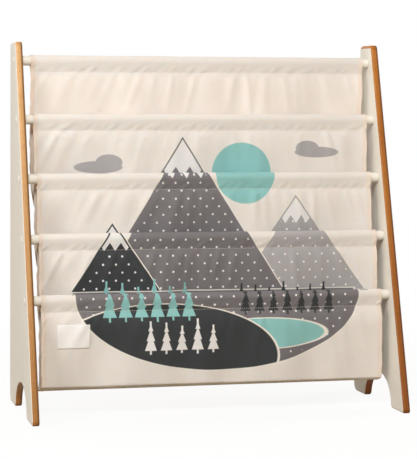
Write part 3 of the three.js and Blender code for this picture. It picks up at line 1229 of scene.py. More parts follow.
@dataclass
class SidePanels:
    """The two side boards: painted faces, lacquered edges, rod sockets and stepped bolt holes."""

    sizes: ShelfSizes
    top_corner: float = 0.012
    front_corner: float = 0.006
    front_toe: float = 0.0075
    heel: float = 0.008
    rear_toe: float = 0.018
    front_foot: float = 0.067
    rear_foot: float = 0.067
    arch_height: float = 0.050
    arch_peak_forward: float = 0.008
    edge_round: float = 0.0025
    round_steps: int = 5
    corner_steps: int = 9
    arch_steps: int = 18
    bolt_hole_radius: float = 0.0033
    counterbore_radius: float = 0.0055
    counterbore_depth: float = 0.005
    socket_radius: float = 0.0086
    paint_share: dict[Side, float] = field(default_factory=lambda: {Side.LEFT: 0.62, Side.RIGHT: 0.95})
    bare_top: float = 0.0048

    def corner(self, before: Point, at: Point, after: Point, radius: float) -> list[Point]:
        """Rounds one corner of the outline.

        Args:
            before: the corner before it.
            at: the corner.
            after: the corner after it.
            radius: how far it is cut back on both sides.

        Returns:
            The points of the rounding.
        """
        here = Vector(at)
        start = here + (Vector(before) - here).normalized() * radius
        end = here + (Vector(after) - here).normalized() * radius
        return bend(tuple(start), at, tuple(end), self.corner_steps)

    def arch(self, first: float, last: float, run: float) -> list[Point]:
        """Draws one side of the arch between the feet, from one angle to another, with its half width."""
        angles = [mix(first, last, i / self.arch_steps) for i in range(self.arch_steps + 1)]
        return [
            (run * math.cos(a) - self.arch_peak_forward, self.arch_height * math.sin(a)) for a in angles]

    def outline(self) -> list[Point]:
        """Draws a board's side view.

        Returns:
            Its points, from the front toe round by the arch, the rear edge and the top.
        """
        half = self.sizes.floor_depth / 2
        front_toe, rear_toe = (-half, 0.0), (half, 0.0)
        front_heel, rear_heel = (-half + self.front_foot, 0.0), (half - self.rear_foot, 0.0)
        top_rear = (half - self.sizes.rear_lean, self.sizes.height)
        top_front = (top_rear[0] - self.sizes.top_depth, self.sizes.height)
        heel_angle = math.asin(self.heel / self.arch_height)
        front_side = self.arch(math.pi - heel_angle, math.pi / 2, -self.arch_peak_forward - front_heel[0])
        rear_side = self.arch(math.pi / 2, heel_angle, rear_heel[0] + self.arch_peak_forward)
        drawn = [(front_toe[0] + self.front_toe, 0.0)]
        drawn += bend((front_heel[0] - self.heel, 0.0), front_heel, front_side[0], self.corner_steps)
        drawn += front_side[1:] + rear_side[1:]
        drawn += bend(rear_side[-1], rear_heel, (rear_heel[0] + self.heel, 0.0), self.corner_steps)[1:]
        drawn += self.corner(rear_heel, rear_toe, top_rear, self.rear_toe)
        drawn += self.corner(rear_toe, top_rear, top_front, self.top_corner)
        drawn += self.corner(top_rear, top_front, front_toe, self.front_corner)
        drawn += self.corner(top_front, front_toe, front_heel, self.front_toe)[:-1]
        return drawn

    def board(self, side: Side) -> Piece:
        """Draws a board's outline point by point, thickens it and rounds both its rims.

        Args:
            side: which board.

        Returns:
            The board, without its holes.
        """
        outline = self.outline()
        low = min(side.value * x for x in (self.sizes.inner_half_width, self.sizes.width / 2))
        piece = Bench.start(f"board_{side.word}", lambda: bpy.ops.mesh.primitive_plane_add(
            size=self.edge_round, location=(low, *outline[0])))
        Bench.settle(piece)
        Bench.edit(piece)
        bpy.ops.mesh.select_all(action="SELECT")
        bpy.ops.mesh.merge(type="CENTER")
        for here, there in zip(outline, outline[1:]):
            step = (0.0, there[0] - here[0], there[1] - here[1])
            bpy.ops.mesh.extrude_vertices_move(TRANSFORM_OT_translate={"value": step})
        bpy.ops.mesh.select_all(action="SELECT")
        bpy.ops.mesh.edge_face_add()
        thickness = self.sizes.panel_thickness
        bpy.ops.mesh.extrude_region_move(TRANSFORM_OT_translate={"value": (thickness, 0, 0)})
        bpy.ops.mesh.select_all(action="SELECT")
        bpy.ops.mesh.normals_make_consistent(inside=False)
        Bench.pick(piece, Pick.EDGE, lambda e: abs(e.verts[0].co.x - e.verts[1].co.x) < thickness / 2)
        bpy.ops.mesh.bevel(offset=self.edge_round, segments=self.round_steps, profile=0.5, affect="EDGES")
        height = self.sizes.height
        for level, past in ((0.0, lambda v: v.co.z < 0), (height, lambda v: v.co.z > height)):
            Bench.pick(piece, Pick.VERT, past)
            bpy.ops.transform.resize(value=(1, 1, 0), center_override=(0, 0, level))
        bpy.ops.mesh.select_all(action="SELECT")
        bpy.ops.mesh.bisect(plane_co=(0, 0, height - self.bare_top), plane_no=(0, 0, 1))
        bpy.ops.object.mode_set(mode="OBJECT")
        return piece

    def drill(self, piece: Piece, side: Side) -> None:
        """Cuts a rod socket, a through hole and a counterbore for each rod.

        Args:
            piece: the board.
            side: which board it is.
        """
        spare = self.sizes.panel_thickness
        inner = self.sizes.inner_half_width
        outer = self.sizes.width / 2
        steps = (
            (self.socket_radius, (inner - spare, inner + self.sizes.socket_depth), 48),
            (self.bolt_hole_radius, (inner, outer + spare), 24),
            (self.counterbore_radius, (outer - self.counterbore_depth, outer + spare), 32),
        )
        for index in range(self.sizes.rod_count):
            for radius, span, sides in steps:
                ends = tuple(sorted(side.value * x for x in span))
                cutter = Bench.round_bar("cutter", radius, ends, self.sizes.rod(index), sides)
                Bench.cut(piece, cutter)

    def painted(self, face: bpy.types.MeshPolygon, side: Side) -> bool:
        """Tells the painted faces: paint wraps the left-hand rim and stops short of the inner top edge."""
        short = side.value * face.normal.x < 0 and face.center.z > self.sizes.height - self.bare_top
        return not short and (-face.normal.x > self.paint_share[side] or face.normal.x > 0.995)

    def dress(self, piece: Piece, side: Side) -> None:
        """Paints the faces, leaves the edges bare wood, and marks how the grain runs.

        Args:
            piece: the board.
            side: which board it is.
        """
        mesh = piece.data
        mesh.materials.clear()
        for finish in (PANEL_PAINT, EDGE_WOOD):
            mesh.materials.append(finish.material())
        for polygon in mesh.polygons:
            polygon.material_index = 0 if self.painted(polygon, side) else 1
        outline = np.array(self.outline() + self.outline()[:1])
        starts, steps = outline[:-1], np.diff(outline, axis=0)
        lengths = np.hypot(*steps.T)
        before = np.concatenate([[0.0], np.cumsum(lengths)[:-1]])
        places = np.array([v.co for v in mesh.vertices])
        gaps = places[:, None, 1:] - starts[None]
        shares = np.clip((gaps * steps).sum(-1) / (lengths ** 2), 0, 1)
        misses = np.linalg.norm(gaps - shares[..., None] * steps, axis=-1)
        nearest = misses.argmin(1)
        rows = np.arange(len(places))
        along = before[nearest] + shares[rows, nearest] * lengths[nearest]
        mark(mesh, "edge_place", np.stack([along, places[:, 0], np.zeros(len(places))], 1))

    def build(self) -> list[Piece]:
        """Builds both boards.

        Returns:
            The two boards.
        """
        made = []
        for side in Side:
            piece = self.board(side)
            self.drill(piece, side)
            self.dress(piece, side)
            Bench.smooth(piece, 35)
            made.append(put_on_shelf(piece, Slot.PANEL, f"side_panel_{side.word}"))
        return made


@dataclass
class CrossRods:
    """The five painted rods, with a blind bore for the insert in each end."""

    sizes: ShelfSizes
    sides: int = 48
    end_round: float = 0.0007
    bore_radius: float = 0.0053
    bore_depth: float = 0.0203

    def model(self) -> Piece:
        """Models one rod on the X axis.

        Returns:
            The rod.
        """
        end = self.sizes.inner_half_width + self.sizes.socket_depth - self.sizes.rod_end_gap
        radius = self.sizes.rod_radius
        rod = Bench.round_bar("rod_model", radius, (-end, end), (0.0, 0.0), self.sides)
        Bench.edit(rod)
        Bench.pick(rod, Pick.EDGE, lambda e: all(abs(abs(v.co.x) - end) < 1e-5 for v in e.verts))
        bpy.ops.mesh.bevel(offset=self.end_round, segments=3, profile=0.5, affect="EDGES")
        for way in (-1, 1):
            Bench.pick(rod, Pick.FACE, lambda f: f.normal.x * way > 0.99)
            bpy.ops.mesh.inset(thickness=radius - self.end_round - self.bore_radius)
            inwards = {"value": (-way * self.bore_depth, 0, 0)}
            bpy.ops.mesh.extrude_region_move(TRANSFORM_OT_translate=inwards)
        bpy.ops.object.mode_set(mode="OBJECT")
        rod.data.materials.append(ROD_PAINT.material())
        Bench.smooth(rod, 35)
        return rod

    def build(self) -> list[Piece]:
        """Models one rod and copies it to each place.

        Returns:
            The rods from the top down.
        """
        model = self.model()
        made = []
        for index in range(self.sizes.rod_count):
            place = Matrix.Translation((0.0, *self.sizes.rod(index)))
            rod = Bench.copy(model, f"painted_rod_{index + 1}", place)
            made.append(put_on_shelf(rod, Slot.ROD, f"cross_rod_{index + 1}"))
        bpy.data.objects.remove(model)
        return made


@dataclass
class CoverCaps:
    """The ten press-in caps over the bolt heads."""

    sizes: ShelfSizes
    radius: float = 0.0058
    rim_height: float = 0.0006
    rise: float = 0.0010
    plug_radius: float = 0.0052
    plug_depth: float = 0.0016
    sides: int = 32
    dome_steps: int = 5
    dome_inset: float = 0.0058 * 0.16

    def model(self) -> Piece:
        """Models one cap for the right board, with X counted outwards from the board's face.

        Returns:
            The cap.
        """
        cap = Bench.round_bar("cap_model", self.radius, (0.0, self.rim_height), (0.0, 0.0), self.sides)
        Bench.edit(cap)
        Bench.pick(cap, Pick.FACE, lambda f: f.normal.x < -0.99)
        bpy.ops.mesh.inset(thickness=self.radius - self.plug_radius)
        inwards = {"value": (-self.plug_depth, 0, 0)}
        bpy.ops.mesh.extrude_region_move(TRANSFORM_OT_translate=inwards)
        steps = self.dome_steps
        for i in range(steps):
            Bench.pick(
                cap, Pick.FACE, lambda f: f.normal.x > 0.99 and f.calc_center_median().yz.length < 1e-4)
            bpy.ops.mesh.inset(thickness=self.dome_inset)
            turn = (1 - i / steps) ** 2 - (1 - (i + 1) / steps) ** 2
            bpy.ops.transform.translate(value=((self.rise - self.rim_height) * turn, 0, 0))
        bpy.ops.object.mode_set(mode="OBJECT")
        cap.data.materials.append(CAP_PLASTIC.material())
        Bench.smooth(cap, 50)
        return cap

    def build(self) -> list[Piece]:
        """Models one cap and copies it over every bolt.

        Returns:
            The caps.
        """
        model = self.model()
        made = []
        for index in range(self.sizes.rod_count):
            for side in Side:
                turn = Matrix.Rotation(math.pi if side is Side.LEFT else 0.0, 4, "Z")
                place = (side.value * self.sizes.width / 2, *self.sizes.rod(index))
                cap = Bench.copy(
                    model, f"bolt_cap_{side.word}_{index + 1}", Matrix.Translation(place) @ turn)
                made.append(put_on_shelf(cap, Slot.CAP, f"cover_cap_{side.word}_{index + 1}"))
        bpy.data.objects.remove(model)
        return made


@dataclass
class Fasteners:
    """The bolts and inserts, whose CAD meshes stay under metal finishes."""

    nodes: dict[str, Piece]

    def build(self) -> list[Piece]:
        """Gives each bolt and insert its metal.

        Returns:
            The bolts and inserts.
        """
        made = []
        for name, node in self.nodes.items():
            finish = ZINC if name.startswith("panel_bolt") else BRASS
            if name.startswith(("panel_bolt", "threaded_insert")):
                node.data.materials.clear()
                node.data.materials.append(finish.material())
                made.append(node)
        return made


@dataclass(frozen=True)
class Row:
    """One row of cloth that runs straight across the shelf.

    Attributes:
        y: its place in the side view.
        z: its height.
        rod: the rod that it hangs from.
        drop: how far it is below that rod's centre.
        full: its share of the soft folds.
        up: the height at which it takes its print.
        face: 1 where the path's right-hand side is the one that is printed, -1 for the other, 0 for none.
        under: share by which it belongs to the underside of a pocket.
    """

    y: float
    z: float
    rod: int
    drop: float
    full: float
    up: float
    face: int
    under: float = 0.0


@dataclass(frozen=True)
class SlingPath:
    """Side view of the slings, by the same sizes and formulas as the CAD source."""

    sizes: ShelfSizes
    cad_cloth: float = 0.0012
    layer_pitch: float = 0.0015
    sleeve_ease: float = 0.0003
    seam_drop: float = 0.0178
    seam_setback: float = 0.0052
    seam_allowance: float = 0.006
    settle_drop: float = 0.050
    hang_setback: float = 0.0094
    lowest_hang_setback: float = 0.012
    pocket_depth: float = 0.139
    floor_clearance: float = 0.0415
    long_turn: float = 0.044
    short_turn: float = 0.012
    crease_turn: float = 0.008
    upper_low_share: float = 0.25
    lowest_low_share: float = 0.78
    upper_turn: Point = (0.20, 0.75)
    lowest_turn: Point = (0.52, 0.46)
    crease: Point = (0.12, 0.30)
    row_pitch: float = 0.0035
    tail_steps: int = 4
    sleeve_steps: int = 26
    run_steps: int = 9
    settle_steps: int = 12
    turn_steps: int = 16

    @property
    def sleeve_radius(self) -> float:
        """Radius of the middle of the cloth round a rod."""
        return self.sizes.rod_radius + self.sleeve_ease + self.cad_cloth / 2

    @property
    def lowest_depth(self) -> float:
        """Depth of the lowest pocket below its rod's centre."""
        return self.sizes.bottom_rod_height - self.floor_clearance - self.cad_cloth / 2

    def hang_at(self, drop: float, plumb: float) -> float:
        """Finds how far in front of its rod the cloth hangs at a drop, from its settled distance."""
        along = min(max((drop - self.seam_drop) / (self.settle_drop - self.seam_drop), 0.0), 1.0)
        return mix(self.seam_setback, plumb, 1 - (1 - along) ** 2)

    def fullness(self, drop: float) -> float:
        """Gives the share of the soft folds at a drop below a rod."""
        reach = self.sizes.rod_pitch + self.pocket_depth - self.seam_drop
        return math.sin(math.pi * min(max((drop - self.seam_drop) / reach, 0.0), 1.0))

    def row(self, rod: int, ahead: float, drop: float, full: float, face: int) -> Row:
        """Makes a row from how far it lies in front of a rod's centre and below it."""
        y, z = self.sizes.rod(rod)
        return Row(y - ahead, z - drop, rod, drop, full, z - drop, face)

    def tangent(self, ahead: float, drop: float) -> float:
        """Finds the angle at which a straight run of cloth from below meets the back of a sleeve."""
        return math.atan2(-drop, -ahead) + math.acos(self.sleeve_radius / math.hypot(ahead, drop))

    def sleeve(self, rod: int, plumb: float, face: int) -> list[Row]:
        """Follows a sleeve from its stitched end behind the seam, over the rod, towards the seam.

        Args:
            rod: the rod.
            plumb: how far in front the settled cloth hangs.
            face: which side is printed.

        Returns:
            Its rows, without the one at the seam.
        """
        behind = self.seam_setback - self.layer_pitch
        start = self.tangent(behind, self.seam_drop)
        tail = self.seam_drop + self.seam_allowance
        rows = []
        for share in np.arange(self.tail_steps) / self.tail_steps:
            drop = mix(tail, self.seam_drop, share)
            ahead = self.hang_at(drop, plumb) - self.layer_pitch
            rows.append(self.row(rod, ahead, drop, self.fullness(drop), 0))
        radius = self.sleeve_radius
        near = (-radius * math.cos(start), -radius * math.sin(start))
        for share in np.arange(self.run_steps) / self.run_steps:
            ahead, drop = mix(behind, near[0], share), mix(self.seam_drop, near[1], share)
            rows.append(self.row(rod, ahead, drop, 0.0, 0))
        top = self.sizes.rod(rod)[1] + radius
        for i in range(self.sleeve_steps + 1):
            angle = mix(start, math.pi, i / self.sleeve_steps)
            made = self.row(rod, -radius * math.cos(angle), -radius * math.sin(angle), 0.0, face)
            if math.cos(angle) > 0:
                made = Row(made.y, made.z, rod, made.drop, 0.0, 2 * top - made.z, face)
            rows.append(made)
        for share in np.arange(1, self.run_steps) / self.run_steps:
            ahead = mix(radius, self.seam_setback, share * share * (3 - 2 * share))
            rows.append(self.row(rod, ahead, self.seam_drop * share, 0.0, face))
        return rows

    def hanging(self, rod: int, plumb: float, layers: int, to_drop: float, face: int) -> list[Row]:
        """Follows cloth that hangs from a rod's seam.

        Args:
            rod: the rod.
            plumb: how far in front it hangs once it has settled.
            layers: how many layers it lies behind the front one.
            to_drop: where it ends, below the rod's centre.
            face: which side is printed.

        Returns:
            Its rows from the seam down.
        """
        back = layers * self.layer_pitch
        drops = [
            mix(self.seam_drop, self.settle_drop, (i / self.settle_steps) ** 1.3)
            for i in range(self.settle_steps + 1)]
        count = max(round((to_drop - self.settle_drop) / self.row_pitch), 1)
        drops += [mix(self.settle_drop, to_drop, i / count) for i in range(1, count + 1)]
        return [self.row(rod, self.hang_at(d, plumb) - back, d, self.fullness(d), face) for d in drops]

    def turn(self, layer: Row, lowest: Point, shares: Point) -> list[Row]:
        """Turns one layer of a pocket in to the pocket's lowest line.

        Args:
            layer: the last upright row of that layer.
            lowest: the lowest line in the side view.
            shares: how long it stays upright and how long it lies level.

        Returns:
            The rows from the upright one to the lowest.
        """
        y, z = lowest
        level = (mix(layer.y, y, shares[1]), z)
        points = ((layer.y, layer.z), (layer.y, mix(layer.z, z, shares[0])), level, lowest)
        rows = []
        for i in range(self.turn_steps + 1):
            t = i / self.turn_steps
            weights = ((1 - t) ** 3, 3 * t * (1 - t) ** 2, 3 * t * t * (1 - t), t ** 3)
            here, up = (sum(w * p[axis] for w, p in zip(weights, points)) for axis in (0, 1))
            rise = (up - z) / (layer.z - z)
            drop = layer.drop + layer.z - up
            rows.append(Row(here, up, layer.rod, drop, layer.full * rise, up, layer.face, 1 - rise))
        return rows

    def rows(self, index: int) -> list[Row]:
        """Follows one sling from its sleeve down and up again to the rod in front.

        Args:
            index: the sling, counted down from 0 at the top.

        Returns:
            Its rows.
        """
        front_rod = index + 1
        lowest = index == self.sizes.rod_count - 2
        depth = self.lowest_depth if lowest else self.pocket_depth
        plumb = self.lowest_hang_setback if lowest else self.hang_setback
        back_turn, front_turn = (
            (self.short_turn, self.crease_turn) if lowest else (self.long_turn, self.short_turn))
        back_shares, front_shares = (
            (self.lowest_turn, self.crease) if lowest else (self.upper_turn, self.upper_turn))
        rows = self.sleeve(index, self.hang_setback, 1)
        rows += self.hanging(index, self.hang_setback, 0, self.sizes.rod_pitch + depth - back_turn, 1)
        face = -1 if lowest else 0
        rising = self.hanging(front_rod, plumb, 0 if lowest else 2, depth - front_turn, face)[::-1]
        low_share = self.lowest_low_share if lowest else self.upper_low_share
        low = (mix(rising[0].y, rows[-1].y, low_share), self.sizes.rod(front_rod)[1] - depth)
        rows += self.turn(rows[-1], low, back_shares)[1:]
        rows += self.turn(rising[0], low, front_shares)[1:-1][::-1] + rising
        if lowest:
            rows += self.sleeve(front_rod, plumb, -1)[::-1]
        return rows


@dataclass(frozen=True)
class HemLines:
    """How far the two hems under one rod hang off their plain lines, along X.

    Attributes:
        left: the left hem's shift at the rod, and once it hangs freely.
        right: the right hem's shift in the same places.
        settled: how far below the rod it hangs freely.
    """

    left: Point
    right: Point
    settled: float = 0.085

    def shift(self, share: Array, drop: Array) -> Array:
        """Spreads the hems' shifts over the cloth, from share 0 at the left hem to 1 at the right one."""
        down = np.clip(drop / self.settled, 0, 1)
        return mix(mix(*self.left, down), mix(*self.right, down), share)


HEMS = (
    HemLines((0.0034, 0.0011), (0.0013, -0.0016)),
    HemLines((0.0030, 0.0035), (-0.0002, -0.0010)),
    HemLines((0.0045, 0.0033), (-0.0018, -0.0018)),
    HemLines((0.0030, 0.0023), (-0.0010, -0.0005)),
    HemLines((0.0018, 0.0010), (-0.0019, -0.0010)),
)


@dataclass(frozen=True)
class DrawIn:
    """How far a sheet's hems draw in at its lowest line, and from how high above it."""

    left: float = 0.0
    right: float = 0.0
    reach: float = 0.012


@dataclass(frozen=True)
class Drape:
    """Where hung cloth stands forward: soft upright folds, creases from the seams and puckers.

    Attributes:
        half_width: half the width of the cloth.
        seam_drop: the seams' depth below the rods.
        wave_depth: height of the broad waves.
        wave_pitch: width of one broad wave.
        ripples: height, width, shift from rod to rod and slant of each lesser wave.
        creases: how many creases run down from each seam.
        puckers: how many short puckers cross each seam.
        crease_fan: how far the creases lean outwards at the hems, as a slope.
        crease_spread: least and most of half a crease's width.
        crease_reach: least and most of its length.
        crease_height: least and most of its height.
        crease_rise: how far below the seam the creases have risen.
        pucker_height: least and most of a pucker's height.
        pucker_slant: least and most of its slant.
        pucker_rise: how far above the seam the puckers are highest.
        pucker_reach: how far from there they fade.
        pucker_spread: half the width of a pucker.
        groove: how deep the stitches pull the seam in.
        groove_spread: half the width of that groove.
        fold_start: how far below the rod the small folds begin.
        fold_run: over what drop they come to their full height.
        tilt: how much higher the pockets' folds lie at the right hem than in the middle.
        hem_reach: how far in from the hems the cloth wanders with them.
        hem_wander: height and pitch of each wave of that wander.
    """

    half_width: float
    seam_drop: float
    wave_depth: float = 0.0030
    wave_pitch: float = 0.215
    ripples: tuple[tuple, ...] = ((0.0020, 0.118, 0.31, 9.0), (0.0013, 0.071, 0.17, -14.0))
    creases: int = 26
    puckers: int = 38
    crease_fan: float = 0.46
    crease_spread: Point = (0.0035, 0.0085)
    crease_reach: Point = (0.030, 0.085)
    crease_height: Point = (0.0010, 0.0030)
    crease_rise: float = 0.007
    pucker_height: Point = (0.0008, 0.0026)
    pucker_slant: Point = (0.7, 1.2)
    pucker_rise: float = 0.007
    pucker_reach: float = 0.0085
    pucker_spread: float = 0.0034
    groove: float = 0.0003
    groove_spread: float = 0.0011
    fold_start: float = 0.004
    fold_run: float = 0.008
    tilt: float = 0.0013
    hem_reach: float = 0.03
    hem_wander: tuple[Point, Point] = ((0.0005, 0.0065), (0.0004, 0.0031))

    def foot(self, index: int, count: int, uneven: float) -> float:
        """Places one of many small folds along a seam, off its even place by a share of their pitch."""
        return ((index + 0.5 + uneven) / count * 2 - 1) * self.half_width

    def wander(self, drop: Array, rods: Array) -> Array:
        """Gives how far the hems wander off their lines at a drop below their rods."""
        (coarse, long_pitch), (fine, short_pitch) = self.hem_wander
        return coarse * np.sin(drop / long_pitch + rods) + fine * np.sin(drop / short_pitch + 2)

    def creased(self, x: Array, drop: Array, rod: int) -> Array:
        """Adds the creases that fan out downwards from a seam.

        Args:
            x: places across the shelf.
            drop: places below the rod.
            rod: the rod.

        Returns:
            How far they stand forward.
        """
        below = np.maximum(drop - self.seam_drop, 0.0)
        rise = 1 - bump(below / self.crease_rise)
        total = np.zeros(np.broadcast(x, drop).shape)
        for i in range(self.creases):
            a, b, c, d = (scatter(rod + 3, i, k) for k in range(4))
            start = self.foot(i, self.creases, 0.8 * (a - 0.5))
            lean = self.crease_fan * start / self.half_width - 0.16 + 0.3 * (b - 0.5)
            spread, reach = mix(*self.crease_spread, c), mix(*self.crease_reach, d)
            height = mix(*self.crease_height, scatter(rod, i, 9)) * (1.35 if a > 0.7 else 0.8)
            ridge = bump((x - start - lean * below) / (spread * (1 + 7 * below)))
            total += height * ridge * bump(below / reach)
        return total * rise

    def puckered(self, x: Array, drop: Array, rod: int) -> Array:
        """Adds the short slanting puckers between a rod and its seam, and just below it.

        Args:
            x: places across the shelf.
            drop: places below the rod.
            rod: the rod.

        Returns:
            How far they stand forward.
        """
        total = np.zeros(np.broadcast(x, drop).shape)
        below = drop - self.seam_drop
        band = bump((below + self.pucker_rise) / self.pucker_reach)
        for i in range(self.puckers):
            a, b, c = (scatter(rod + 11, i, k) for k in range(3))
            start = self.foot(i, self.puckers, 0.7 * (a - 0.5))
            height, slant = mix(*self.pucker_height, b), mix(*self.pucker_slant, c)
            total += height * bump((x - start + slant * below) / self.pucker_spread)
        return total * band

    def forward(self, x: Array, drop: Array, full: Array, ease: Array, rod: int) -> Array:
        """Adds up how far the cloth stands forward of its plain side view.

        Args:
            x: places across the shelf.
            drop: places below the rod.
            full: shares of the broad folds.
            ease: shares of the small folds, less where a pocket turns.
            rod: the rod that it hangs from.

        Returns:
            The distance, the same for every layer under that rod.
        """
        broad = -self.wave_depth * np.cos(2 * np.pi * x / self.wave_pitch)
        drift = sum(
            height * np.sin(2 * np.pi * (x / width + shift * rod) + slant * drop)
            for height, width, shift, slant in self.ripples)
        small = self.creased(x, drop, rod) + self.puckered(x, drop, rod)
        small -= self.groove * bump((drop - self.seam_drop) / self.groove_spread)
        start = np.clip((drop - self.fold_start) / self.fold_run, 0, 1)
        return (broad + drift) * full + small * ease * start


@dataclass(frozen=True)
class Weft:
    """Where the columns of a sheet lie across the shelf, how thick it is there, and how much is hem."""

    x: Array
    thickness: Array
    hem: Array


class Sheet:
    """Builds a closed sheet of cloth from rows and columns, and keeps its two surfaces."""

    def __init__(self, name: str, rows: Sequence[Row], weft: Weft, drape: Drape,
                 lift: float = 0.0, draw_in: DrawIn = DrawIn()) -> None:
        """Works out every point of the sheet.

        Args:
            name: the piece's name.
            rows: its rows along the path.
            weft: its columns.
            drape: the folds that it shares with its neighbours.
            lift: how far the whole sheet lies off the path, along its right-hand side.
            draw_in: how its hems draw in towards its lowest line.
        """
        self.name, self.rows, self.weft = name, rows, weft
        place = np.array([(row.y, row.z) for row in rows])
        steps = np.diff(place, axis=0)
        length = np.hypot(*steps.T)
        self.along = np.concatenate([[0.0], np.cumsum(length)])
        into = np.vstack([steps[:1], steps])
        out = np.vstack([steps, steps[-1:]])
        way = into / np.hypot(*into.T)[:, None] + out / np.hypot(*out.T)[:, None]
        way /= np.hypot(*way.T)[:, None]
        full = np.array([row.full for row in rows])[:, None]
        drop = np.array([row.drop for row in rows])[:, None]
        ease = 1 - np.array([row.under for row in rows])[:, None]
        rods = np.array([row.rod for row in rows])
        x = weft.x[None, :]
        side = x / drape.half_width
        low = 1 - np.clip((place[:, 1:] - place[:, 1].min()) / draw_in.reach, 0, 1)
        pull = np.where(x > 0, draw_in.right, draw_in.left) * low * side
        forward, shift = np.zeros((2, len(rows), len(weft.x)))
        for rod in np.unique(rods):
            part = rods == rod
            forward[part] = drape.forward(x, drop[part], full[part], ease[part], int(rod))
            shift[part] = HEMS[rod].shift((side + 1) / 2, drop[part]) * ease[part]
        near_hem = np.clip((np.abs(x) - drape.half_width) / drape.hem_reach + 1, 0, 1) ** 2
        wander = drape.wander(drop, rods[:, None])
        self.across = x + shift - pull + np.sign(x) * near_hem * wander * full
        tilt = drape.tilt * side * (1 - ease)
        half = weft.thickness[None, :] / 2
        self.surfaces = []
        for offset in (lift + half, lift - half):
            y = place[:, :1] + way[:, 1:] * offset - forward
            z = place[:, 1:] - way[:, :1] * offset
            self.surfaces.append(np.stack([self.across, y, z + tilt], -1))

    def faces(self) -> list[tuple[int, int, int, int]]:
        """Lists the sheet's faces: both surfaces, both hems and both ends.

        Returns:
            The corners of each face.
        """
        rows, columns = len(self.rows), len(self.weft.x)
        index = np.arange(2 * rows * columns).reshape(2, rows, columns)
        front, back = index
        found = [
            np.stack([front[:-1, :-1], front[1:, :-1], front[1:, 1:], front[:-1, 1:]], -1),
            np.stack([back[:-1, :-1], back[:-1, 1:], back[1:, 1:], back[1:, :-1]], -1),
            np.stack([front[:-1, 0], back[:-1, 0], back[1:, 0], front[1:, 0]], -1),
            np.stack([front[:-1, -1], front[1:, -1], back[1:, -1], back[:-1, -1]], -1),
            np.stack([front[0, :-1], front[0, 1:], back[0, 1:], back[0, :-1]], -1),
            np.stack([front[-1, :-1], back[-1, :-1], back[-1, 1:], front[-1, 1:]], -1),
        ]
        return [tuple(face) for block in found for face in block.reshape(-1, 4).tolist()]

    def build(self, material: bpy.types.Material) -> Piece:
        """Makes the sheet's mesh with the places that its cloth and print follow.

        Args:
            material: its finish.

        Returns:
            The sheet.
        """
        points = np.concatenate([surface.reshape(-1, 3) for surface in self.surfaces])
        piece = sewn_mesh(self.name, points, self.faces(), material)
        up, face = np.array([(row.up, row.face) for row in self.rows]).T
        flat = np.zeros(self.across.shape)
        cloth = np.stack([flat + self.weft.x, flat + self.along[:, None], flat], -1).reshape(-1, 3)
        picture = np.stack([self.across, flat + up[:, None], flat], -1).reshape(-1, 3)
        hem = (flat + self.weft.hem).ravel()
        sides = [(flat + (face * side > 0)[:, None]).ravel() for side in (1, -1)]
        mark(piece.data, "cloth_place", np.concatenate([cloth, cloth]))
        mark(piece.data, "print_place", np.concatenate([picture, picture]))
        mark(piece.data, "printed", np.concatenate(sides))
        mark(piece.data, "hem", np.concatenate([hem, hem]))
        return piece


